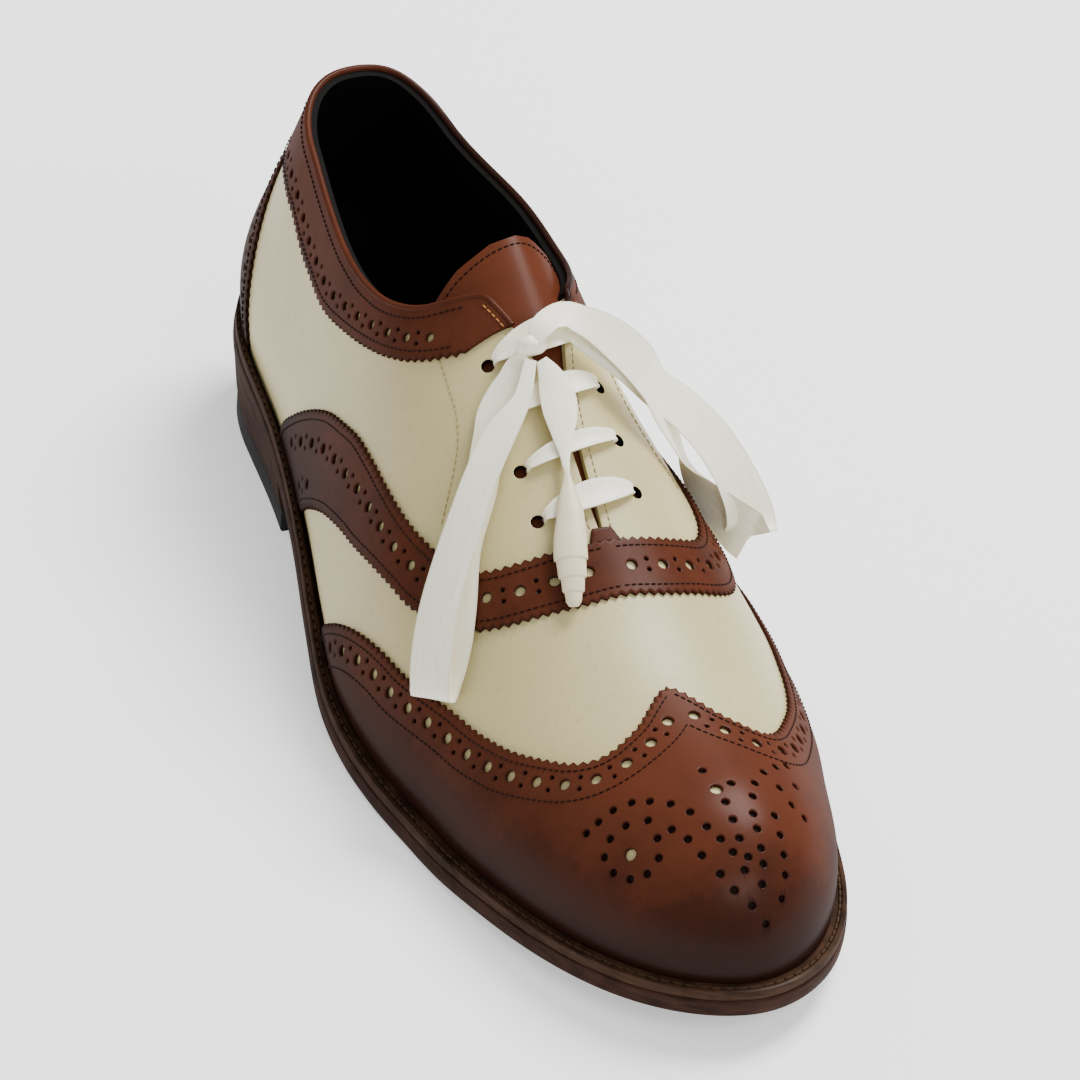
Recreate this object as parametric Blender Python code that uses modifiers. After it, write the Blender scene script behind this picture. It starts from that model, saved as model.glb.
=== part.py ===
"""Two-tone full-brogue dress shoe, wearer's right, closed lacing, leather sole.

Toe towards -Y, medial side towards +X, sole on z = 0.  Tables are in millimetres.
A place on the last is (side, station, girth): side -1 lateral or +1 medial, station the
distance from the back of the sole (below HEEL_S it runs on round the heel to BACK_A),
girth the angle from the feather line (0) to the ridge (90 degrees).
"""
import math

import bmesh
import bpy
import numpy as np

MM = 0.001
MIDDLE_X = 1.16
MIDDLE_S = 150.4
LATERAL = -1.0
MEDIAL = 1.0

HEEL_S = 38.0
BACK_S = 2.6
HEEL_FAN = 50.0
BACK_A = HEEL_S - HEEL_FAN
HEEL_ROUND = 2.4
HEEL_SWELL = 7.0
SWELL_Z = 16.0
HEEL_SWELL_RISE = 6.0
TIP_S = 299.0
TOE_S = 222.0
TOE_ROUND = 1.86
RISE_S = 262.0
RISE_ROUND = 2.3

STATION_COLUMNS = ("s", "lateral", "medial", "ridge", "top", "square", "swell_lat", "swell_med")
STATIONS = np.array((
    (0, 26.5, 23.0, 0.0, 126.5, 1.22, 1.9, 2.0),
    (38, 30.8, 26.6, 0.0, 126.5, 1.24, 1.9, 2.0),
    (70, 36.5, 30.6, 2.6, 123.0, 1.48, 1.6, 3.2),
    (100, 42.5, 31.0, 4.0, 112.0, 1.65, 2.0, 5.4),
    (130, 48.5, 35.0, 4.0, 98.0, 1.74, 2.6, 6.2),
    (160, 52.8, 44.5, 3.2, 82.0, 1.83, 2.9, 5.5),
    (190, 51.8, 49.0, 2.9, 66.5, 1.92, 2.3, 3.0),
    (215, 48.5, 47.0, 3.4, 56.2, 2.10, 1.8, 2.3),
    (240, 46.0, 41.5, 3.9, 51.2, 2.26, 1.6, 2.3),
    (265, 45.8, 40.5, 4.2, 49.3, 2.36, 1.5, 1.8),
    (299, 47.5, 42.5, 3.4, 48.0, 2.40, 1.5, 1.5),
))
SOLE_COLUMNS = ("s", "under", "edge")
SOLE = np.array((
    (0, 23.5, 3.2),
    (30, 20.5, 3.0),
    (75, 16.8, 3.2),
    (110, 10.6, 3.8),
    (145, 3.4, 4.6),
    (180, 0.0, 5.4),
    (215, 0.0, 5.6),
    (245, 2.4, 5.3),
    (275, 5.2, 5.1),
    (304, 8.5, 5.0),
))
FLAT_FROM = 180.0
FLAT_TO = 215.0
COLLAR_COLUMNS = ("s", "lateral", "medial", "band_girth")
COLLAR = np.array((
    (-12, 95.3, 95.3, 38.4),
    (5, 94.7, 94.7, 38.6),
    (22, 92.8, 91.8, 39.0),
    (38, 90.0, 88.6, 38.8),
    (58, 85.6, 86.8, 34.4),
    (75.5, 83.2, 87.0, 33.2),
    (92.5, 83.6, 88.6, 37.2),
    (105, 86.3, 91.2, 42.0),
    (115, 91.0, 94.0, 47.4),
    (123.5, 98.4, 96.4, 54.0),
    (130, 99.0, 97.0, 62.0),
    (133.5, 99.0, 97.0, 69.0),
    (136, 99.0, 97.0, 80.0),
))
THROAT_COLUMNS = ("s", "gap")
THROAT = np.array((
    (123.5, 22.0), (133.5, 14.0), (143.5, 8.0), (155.5, 4.0), (168.5, 2.2), (180, 1.6), (191, 0.0),
))
CORNER_A = 123.5
VAMP_A = 191.0

WALL = 2.0
SOLE_THICK = 5.0
WELT_THICK = 2.7
SEAT_GAP = 0.45
GAP = 0.35
WELT_CLEAR = 1.3
OVERLAY_GAP = 0.6
OVERLAY_THICK = 1.2
INSOLE_INSET = 2.9
INSOLE_THICK = 3.0
GIRTH_STEPS = 11
TOE_STEPS = 11
HEEL_STEPS = 8
SIDE_STATIONS = (222, 206, 191, 180, 168.5, 155.5, 143.5, 133.5, 123.5, 115, 105, 94, 82, 70, 59, 48)

HEEL_BREAST = 77.0
LIFT_THICK = 6.0
HEEL_LEVEL_COLUMNS = ("height", "inset")
HEEL_LEVELS = ((1.0, 0.5), (0.5, 1.7), (0.0, 2.6))

WING_COLUMNS = ("girth", "s")
WING_EDGE = np.array((
    (0, 135), (7.5, 141.5), (12, 147), (17.7, 156), (22, 165.5), (25, 175), (27.3, 186),
    (29.7, 194.5), (32.4, 204), (34.8, 214), (37.2, 220.5), (39.8, 226.5), (43, 231.5),
    (46.5, 236), (50, 239.8), (54, 242.6),
    (58.5, 244.2), (63.5, 244.3), (69.4, 242.8), (76, 240), (82.6, 235), (87, 231.5), (90, 230),
))
WING_STEPS = 17
WING_TIP = 298.82
BAND_STEPS = 4
BAND_COLUMNS = ("rear_girth", "rear_s", "front_girth", "front_s")
BAND = np.array((
    (0.5, 67, 0.5, 94.5),
    (8.8, 73, 8.0, 103),
    (15, 81, 13, 110.5),
    (20.6, 90, 17.2, 118),
    (25.7, 100, 21.8, 129),
    (30, 111, 26.4, 142.5),
    (33.8, 121, 30.4, 153.5),
    (36.4, 131, 33.4, 163),
    (38.8, 141, 36.0, 172.5),
    (41.4, 151, 39.2, 180),
    (45, 163, 43.2, 187),
    (50, 174.5, 48.7, 193),
    (57, 182.5, 56, 197.2),
    (66.6, 186, 66, 200.2),
    (77, 187.5, 77, 202),
    (90, 193.5, 90, 202),
))
STRIP_COLUMNS = ("girth", "s")
STRIP = np.array(((0.5, 37), (8, 36), (15, 34), (21, 30.5), (27, 25), (32.5, 18), (37.6, 11)))
STRIP_STEPS = 8
TONGUE_COLUMNS = ("s", "girth")
TONGUE = np.array(((111, 60), (120, 59), (135, 61), (150, 63.5), (165, 67), (178, 70), (187, 74)))
TONGUE_GAP = 1.1
TONGUE_THICK = 1.6

EYELET_COLUMNS = ("lateral_s", "medial_s", "girth")
EYELETS = ((139.0, 134.6, 74.5), (152.4, 148.2, 75.5), (166.0, 161.8, 76.0), (178.6, 175.0, 76.0))
BAR_LIFT = 0.95
BAR_THICK = 0.9
BAR_WIDTH = 6.4
BAR_END_WIDTH = 3.0
KNOT_AT = (LATERAL, 140.5, 87.0, 6.4)
KNOT_SIZE = (8.0, 6.2, 4.2)
RIBBON_THICK = 0.6
RIBBON_COLUMNS = ("side", "s", "girth", "lift", "width")
LOOP_LATERAL = (
    (LATERAL, 143.4, 82, 6.0, 6), (LATERAL, 151, 73.5, 3.9, 10), (LATERAL, 160, 66.5, 3.4, 12.5),
    (LATERAL, 168, 60, 3.2, 13), (LATERAL, 177, 53, 3.2, 13), (LATERAL, 186, 45.5, 3.2, 13),
    (LATERAL, 195, 37.5, 3.3, 13), (LATERAL, 200.5, 32, 3.8, 13), (LATERAL, 202.5, 30, 5.4, 13),
    (LATERAL, 200, 32.5, 7.0, 13), (LATERAL, 194, 38.5, 7.6, 13), (LATERAL, 185, 46.5, 8.0, 13),
    (LATERAL, 176, 54.5, 8.2, 13), (LATERAL, 166, 62.5, 8.4, 12.5), (LATERAL, 157, 69, 8.6, 10),
    (LATERAL, 146.2, 78.8, 8.2, 6),
)
LOOP_MEDIAL = (
    (MEDIAL, 141.5, 84.3, 9.6, 6), (MEDIAL, 139.5, 78.5, 10.6, 9), (MEDIAL, 140, 71.5, 10.4, 12),
    (MEDIAL, 142.5, 65, 9.4, 13), (MEDIAL, 144.5, 58.5, 9, 13), (MEDIAL, 147.5, 53, 9, 13),
    (MEDIAL, 152, 48, 9, 13), (MEDIAL, 158, 43.5, 9, 13), (MEDIAL, 165, 39.5, 9, 13),
    (MEDIAL, 170, 37, 8.4, 13), (MEDIAL, 172, 35.8, 6.4, 13), (MEDIAL, 170, 37, 4.6, 13),
    (MEDIAL, 165, 40, 4.2, 13), (MEDIAL, 158, 44, 4.2, 13), (MEDIAL, 152, 48.5, 4.4, 13),
    (MEDIAL, 147.5, 54, 4.8, 13), (MEDIAL, 144.5, 60, 5.2, 12), (MEDIAL, 143, 66, 5.6, 9),
    (MEDIAL, 142.5, 74, 5.8, 6),
)
TAIL_FRONT = (
    (LATERAL, 145.4, 87, 6.0, 5), (LATERAL, 154, 87, 3.7, 9), (LATERAL, 163, 87, 3.2, 8),
    (LATERAL, 169, 85.2, 3.2, 5), (LATERAL, 176, 83.2, 3.3, 8), (LATERAL, 185, 80.8, 3.4, 10),
    (LATERAL, 194, 78, 3.4, 9), (LATERAL, 203, 75, 3.2, 4),
)
RIBBON_STEP = 4.2


def column(table, names, name, at):
    """Smooth value of a named column at a place along the first column."""
    x = table[:, 0]
    y = table[:, names.index(name)]
    at = np.clip(np.asarray(at, float), x[0], x[-1])
    slope = np.gradient(y, x)
    i = np.clip(np.searchsorted(x, at) - 1, 0, len(x) - 2)
    span = x[i + 1] - x[i]
    t = (at - x[i]) / span
    here = (1 + 2 * t) * (1 - t) ** 2 * y[i] + t * (1 - t) ** 2 * span * slope[i]
    there = t * t * (3 - 2 * t) * y[i + 1] + t * t * (t - 1) * span * slope[i + 1]
    return here + there


def cap(at, start, end, power):
    """Falls from 1 at the start to 0 at the end as a rounded nose."""
    r = np.clip((at - start) / (end - start), 0, 1)
    return np.maximum(1 - r ** power, 0) ** (1 / power)


def under(s):
    s = np.asarray(s, float)
    flat = (s > FLAT_FROM) & (s < FLAT_TO)
    return np.where(flat, 0.0, np.maximum(column(SOLE, SOLE_COLUMNS, "under", s), 0))


def seat(s):
    return under(s) + SOLE_THICK


def last(name, s):
    return column(STATIONS, STATION_COLUMNS, name, s)


def sided(side, lateral, medial):
    return np.where(np.asarray(side) < 0, lateral, medial)


def foot(side, a):
    """Distance s, half width and heel angle of a place on the feather line."""
    a = np.asarray(a, float)
    turn = np.clip((HEEL_S - a) / HEEL_FAN, 0, 1) * math.pi / 2
    s = np.where(a >= HEEL_S, a, HEEL_S - (HEEL_S - BACK_S) * np.sin(turn) ** (2 / HEEL_ROUND))
    width = sided(side, last("lateral", s), last("medial", s)) * cap(s, TOE_S, TIP_S, TOE_ROUND)
    heel = np.where(turn > 0, np.maximum(np.cos(turn), 0) ** (2 / HEEL_ROUND), 1.0)
    return s, width * heel, turn


def rise(s, axis):
    base = seat(s) + SEAT_GAP
    return base, (last("top", axis) - base) * cap(s, RISE_S, TIP_S, RISE_ROUND), last("square", axis)


def surface(side, a, girth):
    """Outside of the upper as (s, x, z)."""
    side = np.asarray(side, float)
    s, width, turn = foot(side, a)
    fan = turn > 0
    axis = np.where(fan, HEEL_S, s)
    middle = last("ridge", axis)
    back = s - axis
    reach = np.where(fan, np.maximum(np.hypot(back, width), 1e-9), np.maximum(width, 1e-9))
    along = np.where(fan, back / reach, 0.0)
    across = np.where(fan, side * width / reach, side)
    base, height, square = rise(s, axis)
    angle = np.radians(girth)
    z = height * np.maximum(np.sin(angle), 0) ** (2 / square)
    swell = sided(side, last("swell_lat", axis), last("swell_med", axis)) * cap(s, TOE_S, TIP_S, TOE_ROUND)
    heel = np.sin(turn) ** 2
    swell = swell + (HEEL_SWELL - swell) * heel
    q = z / (SWELL_Z + HEEL_SWELL_RISE * heel)
    out = (reach + swell * q * q * np.exp(2 - 2 * q)) * np.cos(angle)
    return np.stack([axis + along * out, middle + across * out, base + z], -1)


def normal(side, a, girth):
    """Outward direction of the surface as (s, x, z)."""
    side = np.asarray(side, float) + 0 * np.asarray(a, float)
    a = np.clip(np.asarray(a, float), BACK_A + 0.1, TIP_S - 0.05)
    girth = np.clip(np.asarray(girth, float), 2.0, 90.0)
    run = surface(side, a + 0.04, girth) - surface(side, a - 0.04, girth)
    climb = surface(side, a, girth + 0.05) - surface(side, a, girth - 0.05)
    n = np.cross(climb, run) * side[..., None]
    return n / np.maximum(np.linalg.norm(n, axis=-1, keepdims=True), 1e-12)


def lifted(side, a, girth, lift):
    return surface(side, a, girth) + normal(side, a, girth) * np.asarray(lift, float)[..., None]


def girth_at(a, height):
    s, _, turn = foot(LATERAL, a)
    base, full, square = rise(s, np.where(turn > 0, HEEL_S, s))
    part = np.clip((height - base) / np.maximum(full, 1e-6), 0, 0.9999)
    return np.degrees(np.arcsin(part ** (square / 2)))


def top_girth(side, a):
    """Girth at which the upper ends: the collar, the throat edge or the ridge."""
    a = np.asarray(a, float)
    heights = [column(COLLAR, COLLAR_COLUMNS, name, a) for name in ("lateral", "medial")]
    height = sided(side, *heights)
    _, width, _ = foot(side, a)
    half = column(THROAT, THROAT_COLUMNS, "gap", a) / 2
    facing = np.degrees(np.arccos(np.clip(half / np.maximum(width, 1e-6), 0, 1)))
    return np.where(a < CORNER_A, girth_at(a, height), np.where(a < VAMP_A, facing, 90.0))


def welt_girth(a):
    """Girth just above the welt, where the overlays start."""
    return girth_at(a, seat(foot(LATERAL, a)[0]) + GAP + WELT_THICK + WELT_CLEAR)


def toe_places(start, steps):
    """Stations from the start of the toe to the tip, even round the outline."""
    turn = np.linspace(0, math.pi / 2, steps + 1)
    nose = TOE_S + (TIP_S - TOE_S) * np.sin(turn) ** (2 / TOE_ROUND)
    return nose[nose > start + 1]


def places():
    """Stations from the toe tip back to the middle of the heel."""
    nose = toe_places(TOE_S, TOE_STEPS)[::-1]
    heel = np.linspace(HEEL_S, BACK_A, HEEL_STEPS + 1)
    return np.concatenate([nose, SIDE_STATIONS, heel])


def world(points):
    p = np.asarray(points, float)
    return np.stack([p[..., 1] - MIDDLE_X, MIDDLE_S - p[..., 0], p[..., 2]], -1) * MM


SHOE = "dress_shoe"
for old in list(bpy.data.objects):
    bpy.data.objects.remove(old, do_unlink=True)
shoe = bpy.data.collections.new(SHOE)
bpy.context.scene.collection.children.link(shoe)


def leather(name, colour, roughness):
    material = bpy.data.materials.new(name)
    material.use_nodes = True
    shader = material.node_tree.nodes["Principled BSDF"]
    shader.inputs["Base Color"].default_value = (*colour, 1.0)
    shader.inputs["Roughness"].default_value = roughness
    return material


def piece(name, bm, colour, roughness=0.45):
    mesh = bpy.data.meshes.new(name)
    bm.to_mesh(mesh)
    bm.free()
    mesh.materials.append(leather(name, colour, roughness))
    made = bpy.data.objects.new(name, mesh)
    shoe.objects.link(made)
    return made


def weld(bm):
    bmesh.ops.remove_doubles(bm, verts=bm.verts[:], dist=0.00002)


def face_out(bm):
    bmesh.ops.recalc_face_normals(bm, faces=bm.faces[:])
    if bm.calc_volume(signed=True) < 0:
        bmesh.ops.reverse_faces(bm, faces=bm.faces[:])


def add_grid(bm, points, turned):
    """Quads over a grid of (s, x, z) points."""
    grid = world(points)
    rows = [[bm.verts.new(p) for p in row] for row in grid]
    for low, high in zip(rows[:-1], rows[1:]):
        for i in range(len(low) - 1):
            quad = (low[i], low[i + 1], high[i + 1], high[i])
            bm.faces.new(quad[::-1] if turned else quad)


def thicken(made, thickness, outward):
    solid = made.modifiers.new("thickness", "SOLIDIFY")
    solid.thickness = thickness * MM
    solid.offset = 1.0 if outward else -1.0
    solid.use_rim = True
    return made


def outline(stations, grow):
    """Lateral and medial sole outlines as (s, x), grown outwards from the feather line."""
    left = surface(LATERAL, stations, 0 * stations)[:, :2]
    right = surface(MEDIAL, stations, 0 * stations)[:, :2]
    ring = np.concatenate([left, right[::-1][1:-1]])
    run = np.roll(ring, -1, 0) - np.roll(ring, 1, 0)
    run /= np.linalg.norm(run, axis=1, keepdims=True)
    out = np.stack([run[:, 1], -run[:, 0]], -1)
    middle = np.stack([np.clip(ring[:, 0], HEEL_S, TOE_S), 0 * ring[:, 0]], -1)
    out *= np.sign(((ring - middle) * out).sum(1))[:, None]
    ring = ring + out * np.broadcast_to(grow(ring[:, 0]), len(ring))[:, None]
    n = len(stations)
    return ring[:n], np.concatenate([ring[:1], ring[n:][::-1], ring[n - 1:n]])


def sole_edge(s):
    return column(SOLE, SOLE_COLUMNS, "edge", s)


def slab(name, levels, colour, roughness, front=None):
    """Solid between stacked outlines; each level is (lateral, medial, height function)."""
    bm = bmesh.new()
    rings = []
    for left, right, height in levels:
        pair = []
        for side in (left, right):
            tall = np.column_stack([side, np.broadcast_to(height(side[:, 0]), len(side))])
            pair.append([bm.verts.new(p) for p in world(tall)])
        rings.append(pair)
    for (left, right), (left_up, right_up) in zip(rings[:-1], rings[1:]):
        for i in range(len(left) - 1):
            bm.faces.new((left[i], left[i + 1], left_up[i + 1], left_up[i]))
            bm.faces.new((right[i + 1], right[i], right_up[i], right_up[i + 1]))
        if front is not None:
            bm.faces.new((right[0], left[0], left_up[0], right_up[0]))
    for number, (left, right) in enumerate((rings[0], rings[-1])):
        for i in range(len(left) - 1):
            quad = (left[i], right[i], right[i + 1], left[i + 1])
            bm.faces.new(quad if number else quad[::-1])
    weld(bm)
    face_out(bm)
    return piece(name, bm, colour, roughness)


def make_upper():
    bm = bmesh.new()
    stations = places()
    share = np.linspace(0, 1, GIRTH_STEPS + 1)
    for side in (LATERAL, MEDIAL):
        girth = top_girth(side, stations)[:, None] * share
        spread = np.broadcast_to(stations[:, None], girth.shape)
        add_grid(bm, surface(side, spread, girth), side > 0)
    weld(bm)
    return thicken(piece("upper", bm, (0.62, 0.56, 0.42)), WALL, False)


def make_sole():
    stations = places()
    levels = []
    for part, inset in ((0.0, 1.0), (0.25, 0.2), (0.78, 0.0), (1.0, 0.5)):
        left, right = outline(stations, lambda s, i=inset: sole_edge(s) - i)
        levels.append((left, right, lambda s, p=part: under(s) + SOLE_THICK * p))
    slab("outsole", levels, (0.035, 0.018, 0.011), 0.35)
    left, right = outline(stations, lambda s: -INSOLE_INSET + 0 * s)
    low = (left, right, lambda s: seat(s) + GAP)
    high = (left, right, lambda s: seat(s) + GAP + INSOLE_THICK)
    slab("insole", (low, high), (0.02, 0.018, 0.016), 0.7)


def make_welt():
    stations = places()
    bm = bmesh.new()
    s, _, turn = foot(LATERAL, stations)
    middle = np.stack([np.where(turn > 0, HEEL_S, s), last("ridge", np.where(turn > 0, HEEL_S, s))], -1)
    wall = girth_at(stations, seat(s) + GAP + WELT_THICK)
    swell = 0 * s
    for side in (LATERAL, MEDIAL):
        rims = [surface(side, stations, girth)[:, :2] for girth in (0 * wall, wall)]
        reach = [np.linalg.norm(rim - middle, axis=1) for rim in rims]
        swell = np.maximum(swell, reach[1] - reach[0])
    rings = []
    for part, inset in ((0.0, None), (0.0, 0.5), (1.0, 0.7), (1.0, None)):
        if inset is None:
            grow = lambda at, p=part: GAP + p * (GAP + np.interp(at, s[::-1], swell[::-1]))
        else:
            grow = lambda at, i=inset: sole_edge(at) - i
        left, right = outline(stations, grow)
        ring = np.concatenate([left, right[::-1][1:-1]])
        tall = np.column_stack([ring, seat(ring[:, 0]) + GAP + WELT_THICK * part])
        rings.append([bm.verts.new(p) for p in world(tall)])
    count = len(rings[0])
    for k, low in enumerate(rings):
        high = rings[(k + 1) % len(rings)]
        for i in range(count):
            j = (i + 1) % count
            bm.faces.new((low[i], low[j], high[j], high[i]))
    face_out(bm)
    piece("welt", bm, (0.05, 0.026, 0.014), 0.4)


def heel_outline(inset):
    stations = np.concatenate([[HEEL_BREAST, 68, 59, 48], np.linspace(HEEL_S, BACK_A, HEEL_STEPS + 1)])
    ahead = (TIP_S, TOE_S, CORNER_A)
    left, right = outline(np.concatenate([ahead, stations]), lambda s: sole_edge(s) - inset)
    return left[len(ahead):], right[len(ahead):]


def make_heel():
    foot_of_stack = LIFT_THICK + GAP
    levels = []
    for height, inset in HEEL_LEVELS:
        left, right = heel_outline(inset)
        climb = lambda s, h=height: foot_of_stack + (under(s) - GAP - foot_of_stack) * h
        levels.append((left, right, climb))
    breast = slab("heel_stack", levels[::-1], (0.04, 0.02, 0.012), 0.3, True)
    left, right = heel_outline(HEEL_LEVELS[-1][1])
    low = (left, right, lambda s: 0.0 * s)
    high = (left, right, lambda s: 0.0 * s + LIFT_THICK)
    lift = slab("heel_top_lift", (low, high), (0.012, 0.012, 0.012), 0.6, True)
    return breast, lift


def patch(name, halves, colour, thickness=OVERLAY_THICK, lift=OVERLAY_GAP, roughness=0.4):
    """Sheet over the last; halves hold (side, station grid, girth grid)."""
    bm = bmesh.new()
    for side, stations, girths, turned in halves:
        add_grid(bm, lifted(side, stations, girths, lift), turned)
    weld(bm)
    return thicken(piece(name, bm, colour, roughness), thickness, True)


def toe_run(start):
    """Stations from the wing's edge to its tip, even along the feather line."""
    turn = np.linspace(0, math.pi / 2, 200)
    nose = TOE_S + (WING_TIP - TOE_S) * np.sin(turn) ** (2 / TOE_ROUND)
    dense = np.concatenate([np.arange(WING_EDGE[0, 1], TOE_S), nose])
    line = surface(LATERAL, dense, 0 * dense)
    reach = np.concatenate([[0], np.cumsum(np.linalg.norm(np.diff(line, axis=0), axis=1))])
    at = np.linspace(np.interp(start, dense, reach), reach[-1], WING_STEPS + 1)
    return np.interp(at, reach, dense)


def make_wing_cap():
    halves = []
    for side in (LATERAL, MEDIAL):
        stations = []
        girths = []
        for girth, start in WING_EDGE:
            row = toe_run(start)
            low = welt_girth(row)
            share = max(girth - low[0], 0) / (90 - low[0])
            stations.append(row)
            girths.append(low + (90 - low) * share)
        halves.append((side, np.array(stations), np.array(girths), side > 0))
    return patch("wing_cap", halves, (0.13, 0.04, 0.018))


def make_vamp_band():
    halves = []
    across = np.linspace(0, 1, BAND_STEPS)
    for side in (LATERAL, MEDIAL):
        stations = BAND[:, 1:2] + (BAND[:, 3:4] - BAND[:, 1:2]) * across
        girths = BAND[:, 0:1] + (BAND[:, 2:3] - BAND[:, 0:1]) * across
        halves.append((side, stations, np.maximum(girths, welt_girth(stations)), side > 0))
    return patch("vamp_band", halves, (0.13, 0.04, 0.018))


def make_collar_band():
    halves = []
    heel = np.linspace(BACK_A, HEEL_S, HEEL_STEPS + 1)
    stations = np.concatenate([heel, (48, 59, 70, 82, 94, 105, 115, 120, 123.5, 127, 130.5, 133)])
    share = np.linspace(0, 1, 5)
    for side in (LATERAL, MEDIAL):
        low = column(COLLAR, COLLAR_COLUMNS, "band_girth", stations)[:, None]
        high = top_girth(side, stations)[:, None]
        girths = low + (high - low) * share
        halves.append((side, np.broadcast_to(stations[:, None], girths.shape), girths, side < 0))
    return patch("collar_band", halves, (0.16, 0.05, 0.022))


def make_back_strip():
    halves = []
    share = np.linspace(0, 1, STRIP_STEPS)
    climb = np.linspace(0, 1, STRIP_STEPS + 2)[:, None]
    edge = column(STRIP, STRIP_COLUMNS, "s", STRIP[-1, 0] * climb)
    for side in (LATERAL, MEDIAL):
        stations = BACK_A + (edge - BACK_A) * share
        low = welt_girth(stations)
        girths = low + (STRIP[-1, 0] - low) * climb
        halves.append((side, stations, girths, side > 0))
    return patch("back_strip", halves, (0.13, 0.04, 0.018))


def make_tongue():
    halves = []
    stations = np.array((111, 117, 123.5, 131, 139, 147, 155, 163, 171, 179, 187.0))
    share = np.linspace(0, 1, 5)
    for side in (LATERAL, MEDIAL):
        low = column(TONGUE, TONGUE_COLUMNS, "girth", stations)[:, None]
        girths = low + (90 - low) * share
        halves.append((side, np.broadcast_to(stations[:, None], girths.shape), girths, side < 0))
    made = patch("tongue", halves, (0.15, 0.05, 0.025), TONGUE_THICK, -WALL - TONGUE_GAP)
    made.modifiers["thickness"].offset = -1.0
    return made


def strip_solid(name, centres, widths, thickness, side_way, colour):
    """Flat ribbon with square ends along a path, its width laid along side_way."""
    bm = bmesh.new()
    run = np.gradient(centres, axis=0)
    wide = side_way - run * ((side_way * run).sum(1) / (run * run).sum(1))[:, None]
    wide /= np.linalg.norm(wide, axis=1, keepdims=True)
    face = np.cross(run, wide)
    face /= np.linalg.norm(face, axis=1, keepdims=True)
    rings = []
    for x, z in ((-0.5, -0.5), (0.5, -0.5), (0.5, 0.5), (-0.5, 0.5)):
        line = centres + wide * (widths * x)[:, None] + face * thickness * z
        rings.append([bm.verts.new(p) for p in world(line)])
    for k in range(4):
        low = rings[k]
        high = rings[(k + 1) % 4]
        for i in range(len(low) - 1):
            bm.faces.new((low[i], low[i + 1], high[i + 1], high[i]))
    bm.faces.new([ring[0] for ring in rings])
    bm.faces.new([ring[-1] for ring in rings[::-1]])
    face_out(bm)
    return piece(name, bm, colour, 0.35)


def make_lace_bars():
    share = np.linspace(-1, 1, 9)
    for number, (lateral_s, medial_s, girth) in enumerate(EYELETS, 1):
        centres = []
        for t in share:
            side = LATERAL if t < 0 else MEDIAL
            place = lateral_s + (medial_s - lateral_s) * (t + 1) / 2
            centres.append(lifted(side, place, 90 + (girth - 90) * abs(t), BAR_LIFT))
        widths = BAR_END_WIDTH + (BAR_WIDTH - BAR_END_WIDTH) * (1 - share ** 2)
        along = np.array((1.0, 0.0, -0.5))
        sides = np.broadcast_to(along, (len(share), 3))
        strip_solid("lace_bar_%d" % number, np.array(centres), widths, BAR_THICK, sides, (0.8, 0.76, 0.62))


def through(points, step):
    """Even points along a smooth curve through the given ones."""
    p = np.asarray(points, float)
    reach = np.concatenate([[0], np.cumsum(np.linalg.norm(np.diff(p[:, :3], axis=0), axis=1))])
    at = np.linspace(0, reach[-1], max(int(reach[-1] / step), 4) + 1)
    table = np.column_stack([reach, p])
    names = tuple(range(table.shape[1]))
    return np.stack([column(table, names, k, at) for k in names[1:]], -1)


def make_ribbon(name, rows):
    sides, places_s, girths, lifts, widths = (np.array(c, float) for c in zip(*rows))
    line = lifted(sides, places_s, girths, lifts)
    path = through(np.column_stack([line, widths]), RIBBON_STEP)
    far = int(np.argmax(np.linalg.norm(line - line[0], axis=1)))
    middle = far // 2
    way = np.cross(line[far] - line[0], normal(sides[middle], places_s[middle], girths[middle]))
    way = np.broadcast_to(way / np.linalg.norm(way), (len(path), 3))
    return strip_solid(name, path[:, :3], path[:, 3], RIBBON_THICK, way, (0.8, 0.76, 0.62))


def make_knot():
    bm = bmesh.new()
    bmesh.ops.create_uvsphere(bm, u_segments=14, v_segments=8, radius=1.0)
    centre = world(lifted(*(np.float64(v) for v in KNOT_AT)))
    for vert in bm.verts:
        vert.co = [c + v * r * MM for c, v, r in zip(centre, vert.co, KNOT_SIZE)]
    return piece("lace_knot", bm, (0.8, 0.76, 0.62), 0.35)


make_upper()
make_sole()
make_welt()
make_heel()
make_wing_cap()
make_vamp_band()
make_collar_band()
make_back_strip()
make_tongue()
make_lace_bars()
make_knot()
make_ribbon("lace_loop_lateral", LOOP_LATERAL)
make_ribbon("lace_loop_medial", LOOP_MEDIAL)
make_ribbon("lace_tail_front", TAIL_FRONT)
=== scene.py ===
"""Looks of a two-tone brogue dress shoe, wearer's right, with ribbon laces.

Sizes are in millimetres until world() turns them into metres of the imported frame.
A place on the last is (side, station, girth), as in the part's source. A chart line is an
array of (reach, girth) rows, which over_ridge or round_heel turns into such places.
"""

import math

import bmesh
import bpy
import numpy as np
from mathutils import Matrix, Vector
from mathutils.geometry import delaunay_2d_cdt

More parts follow.
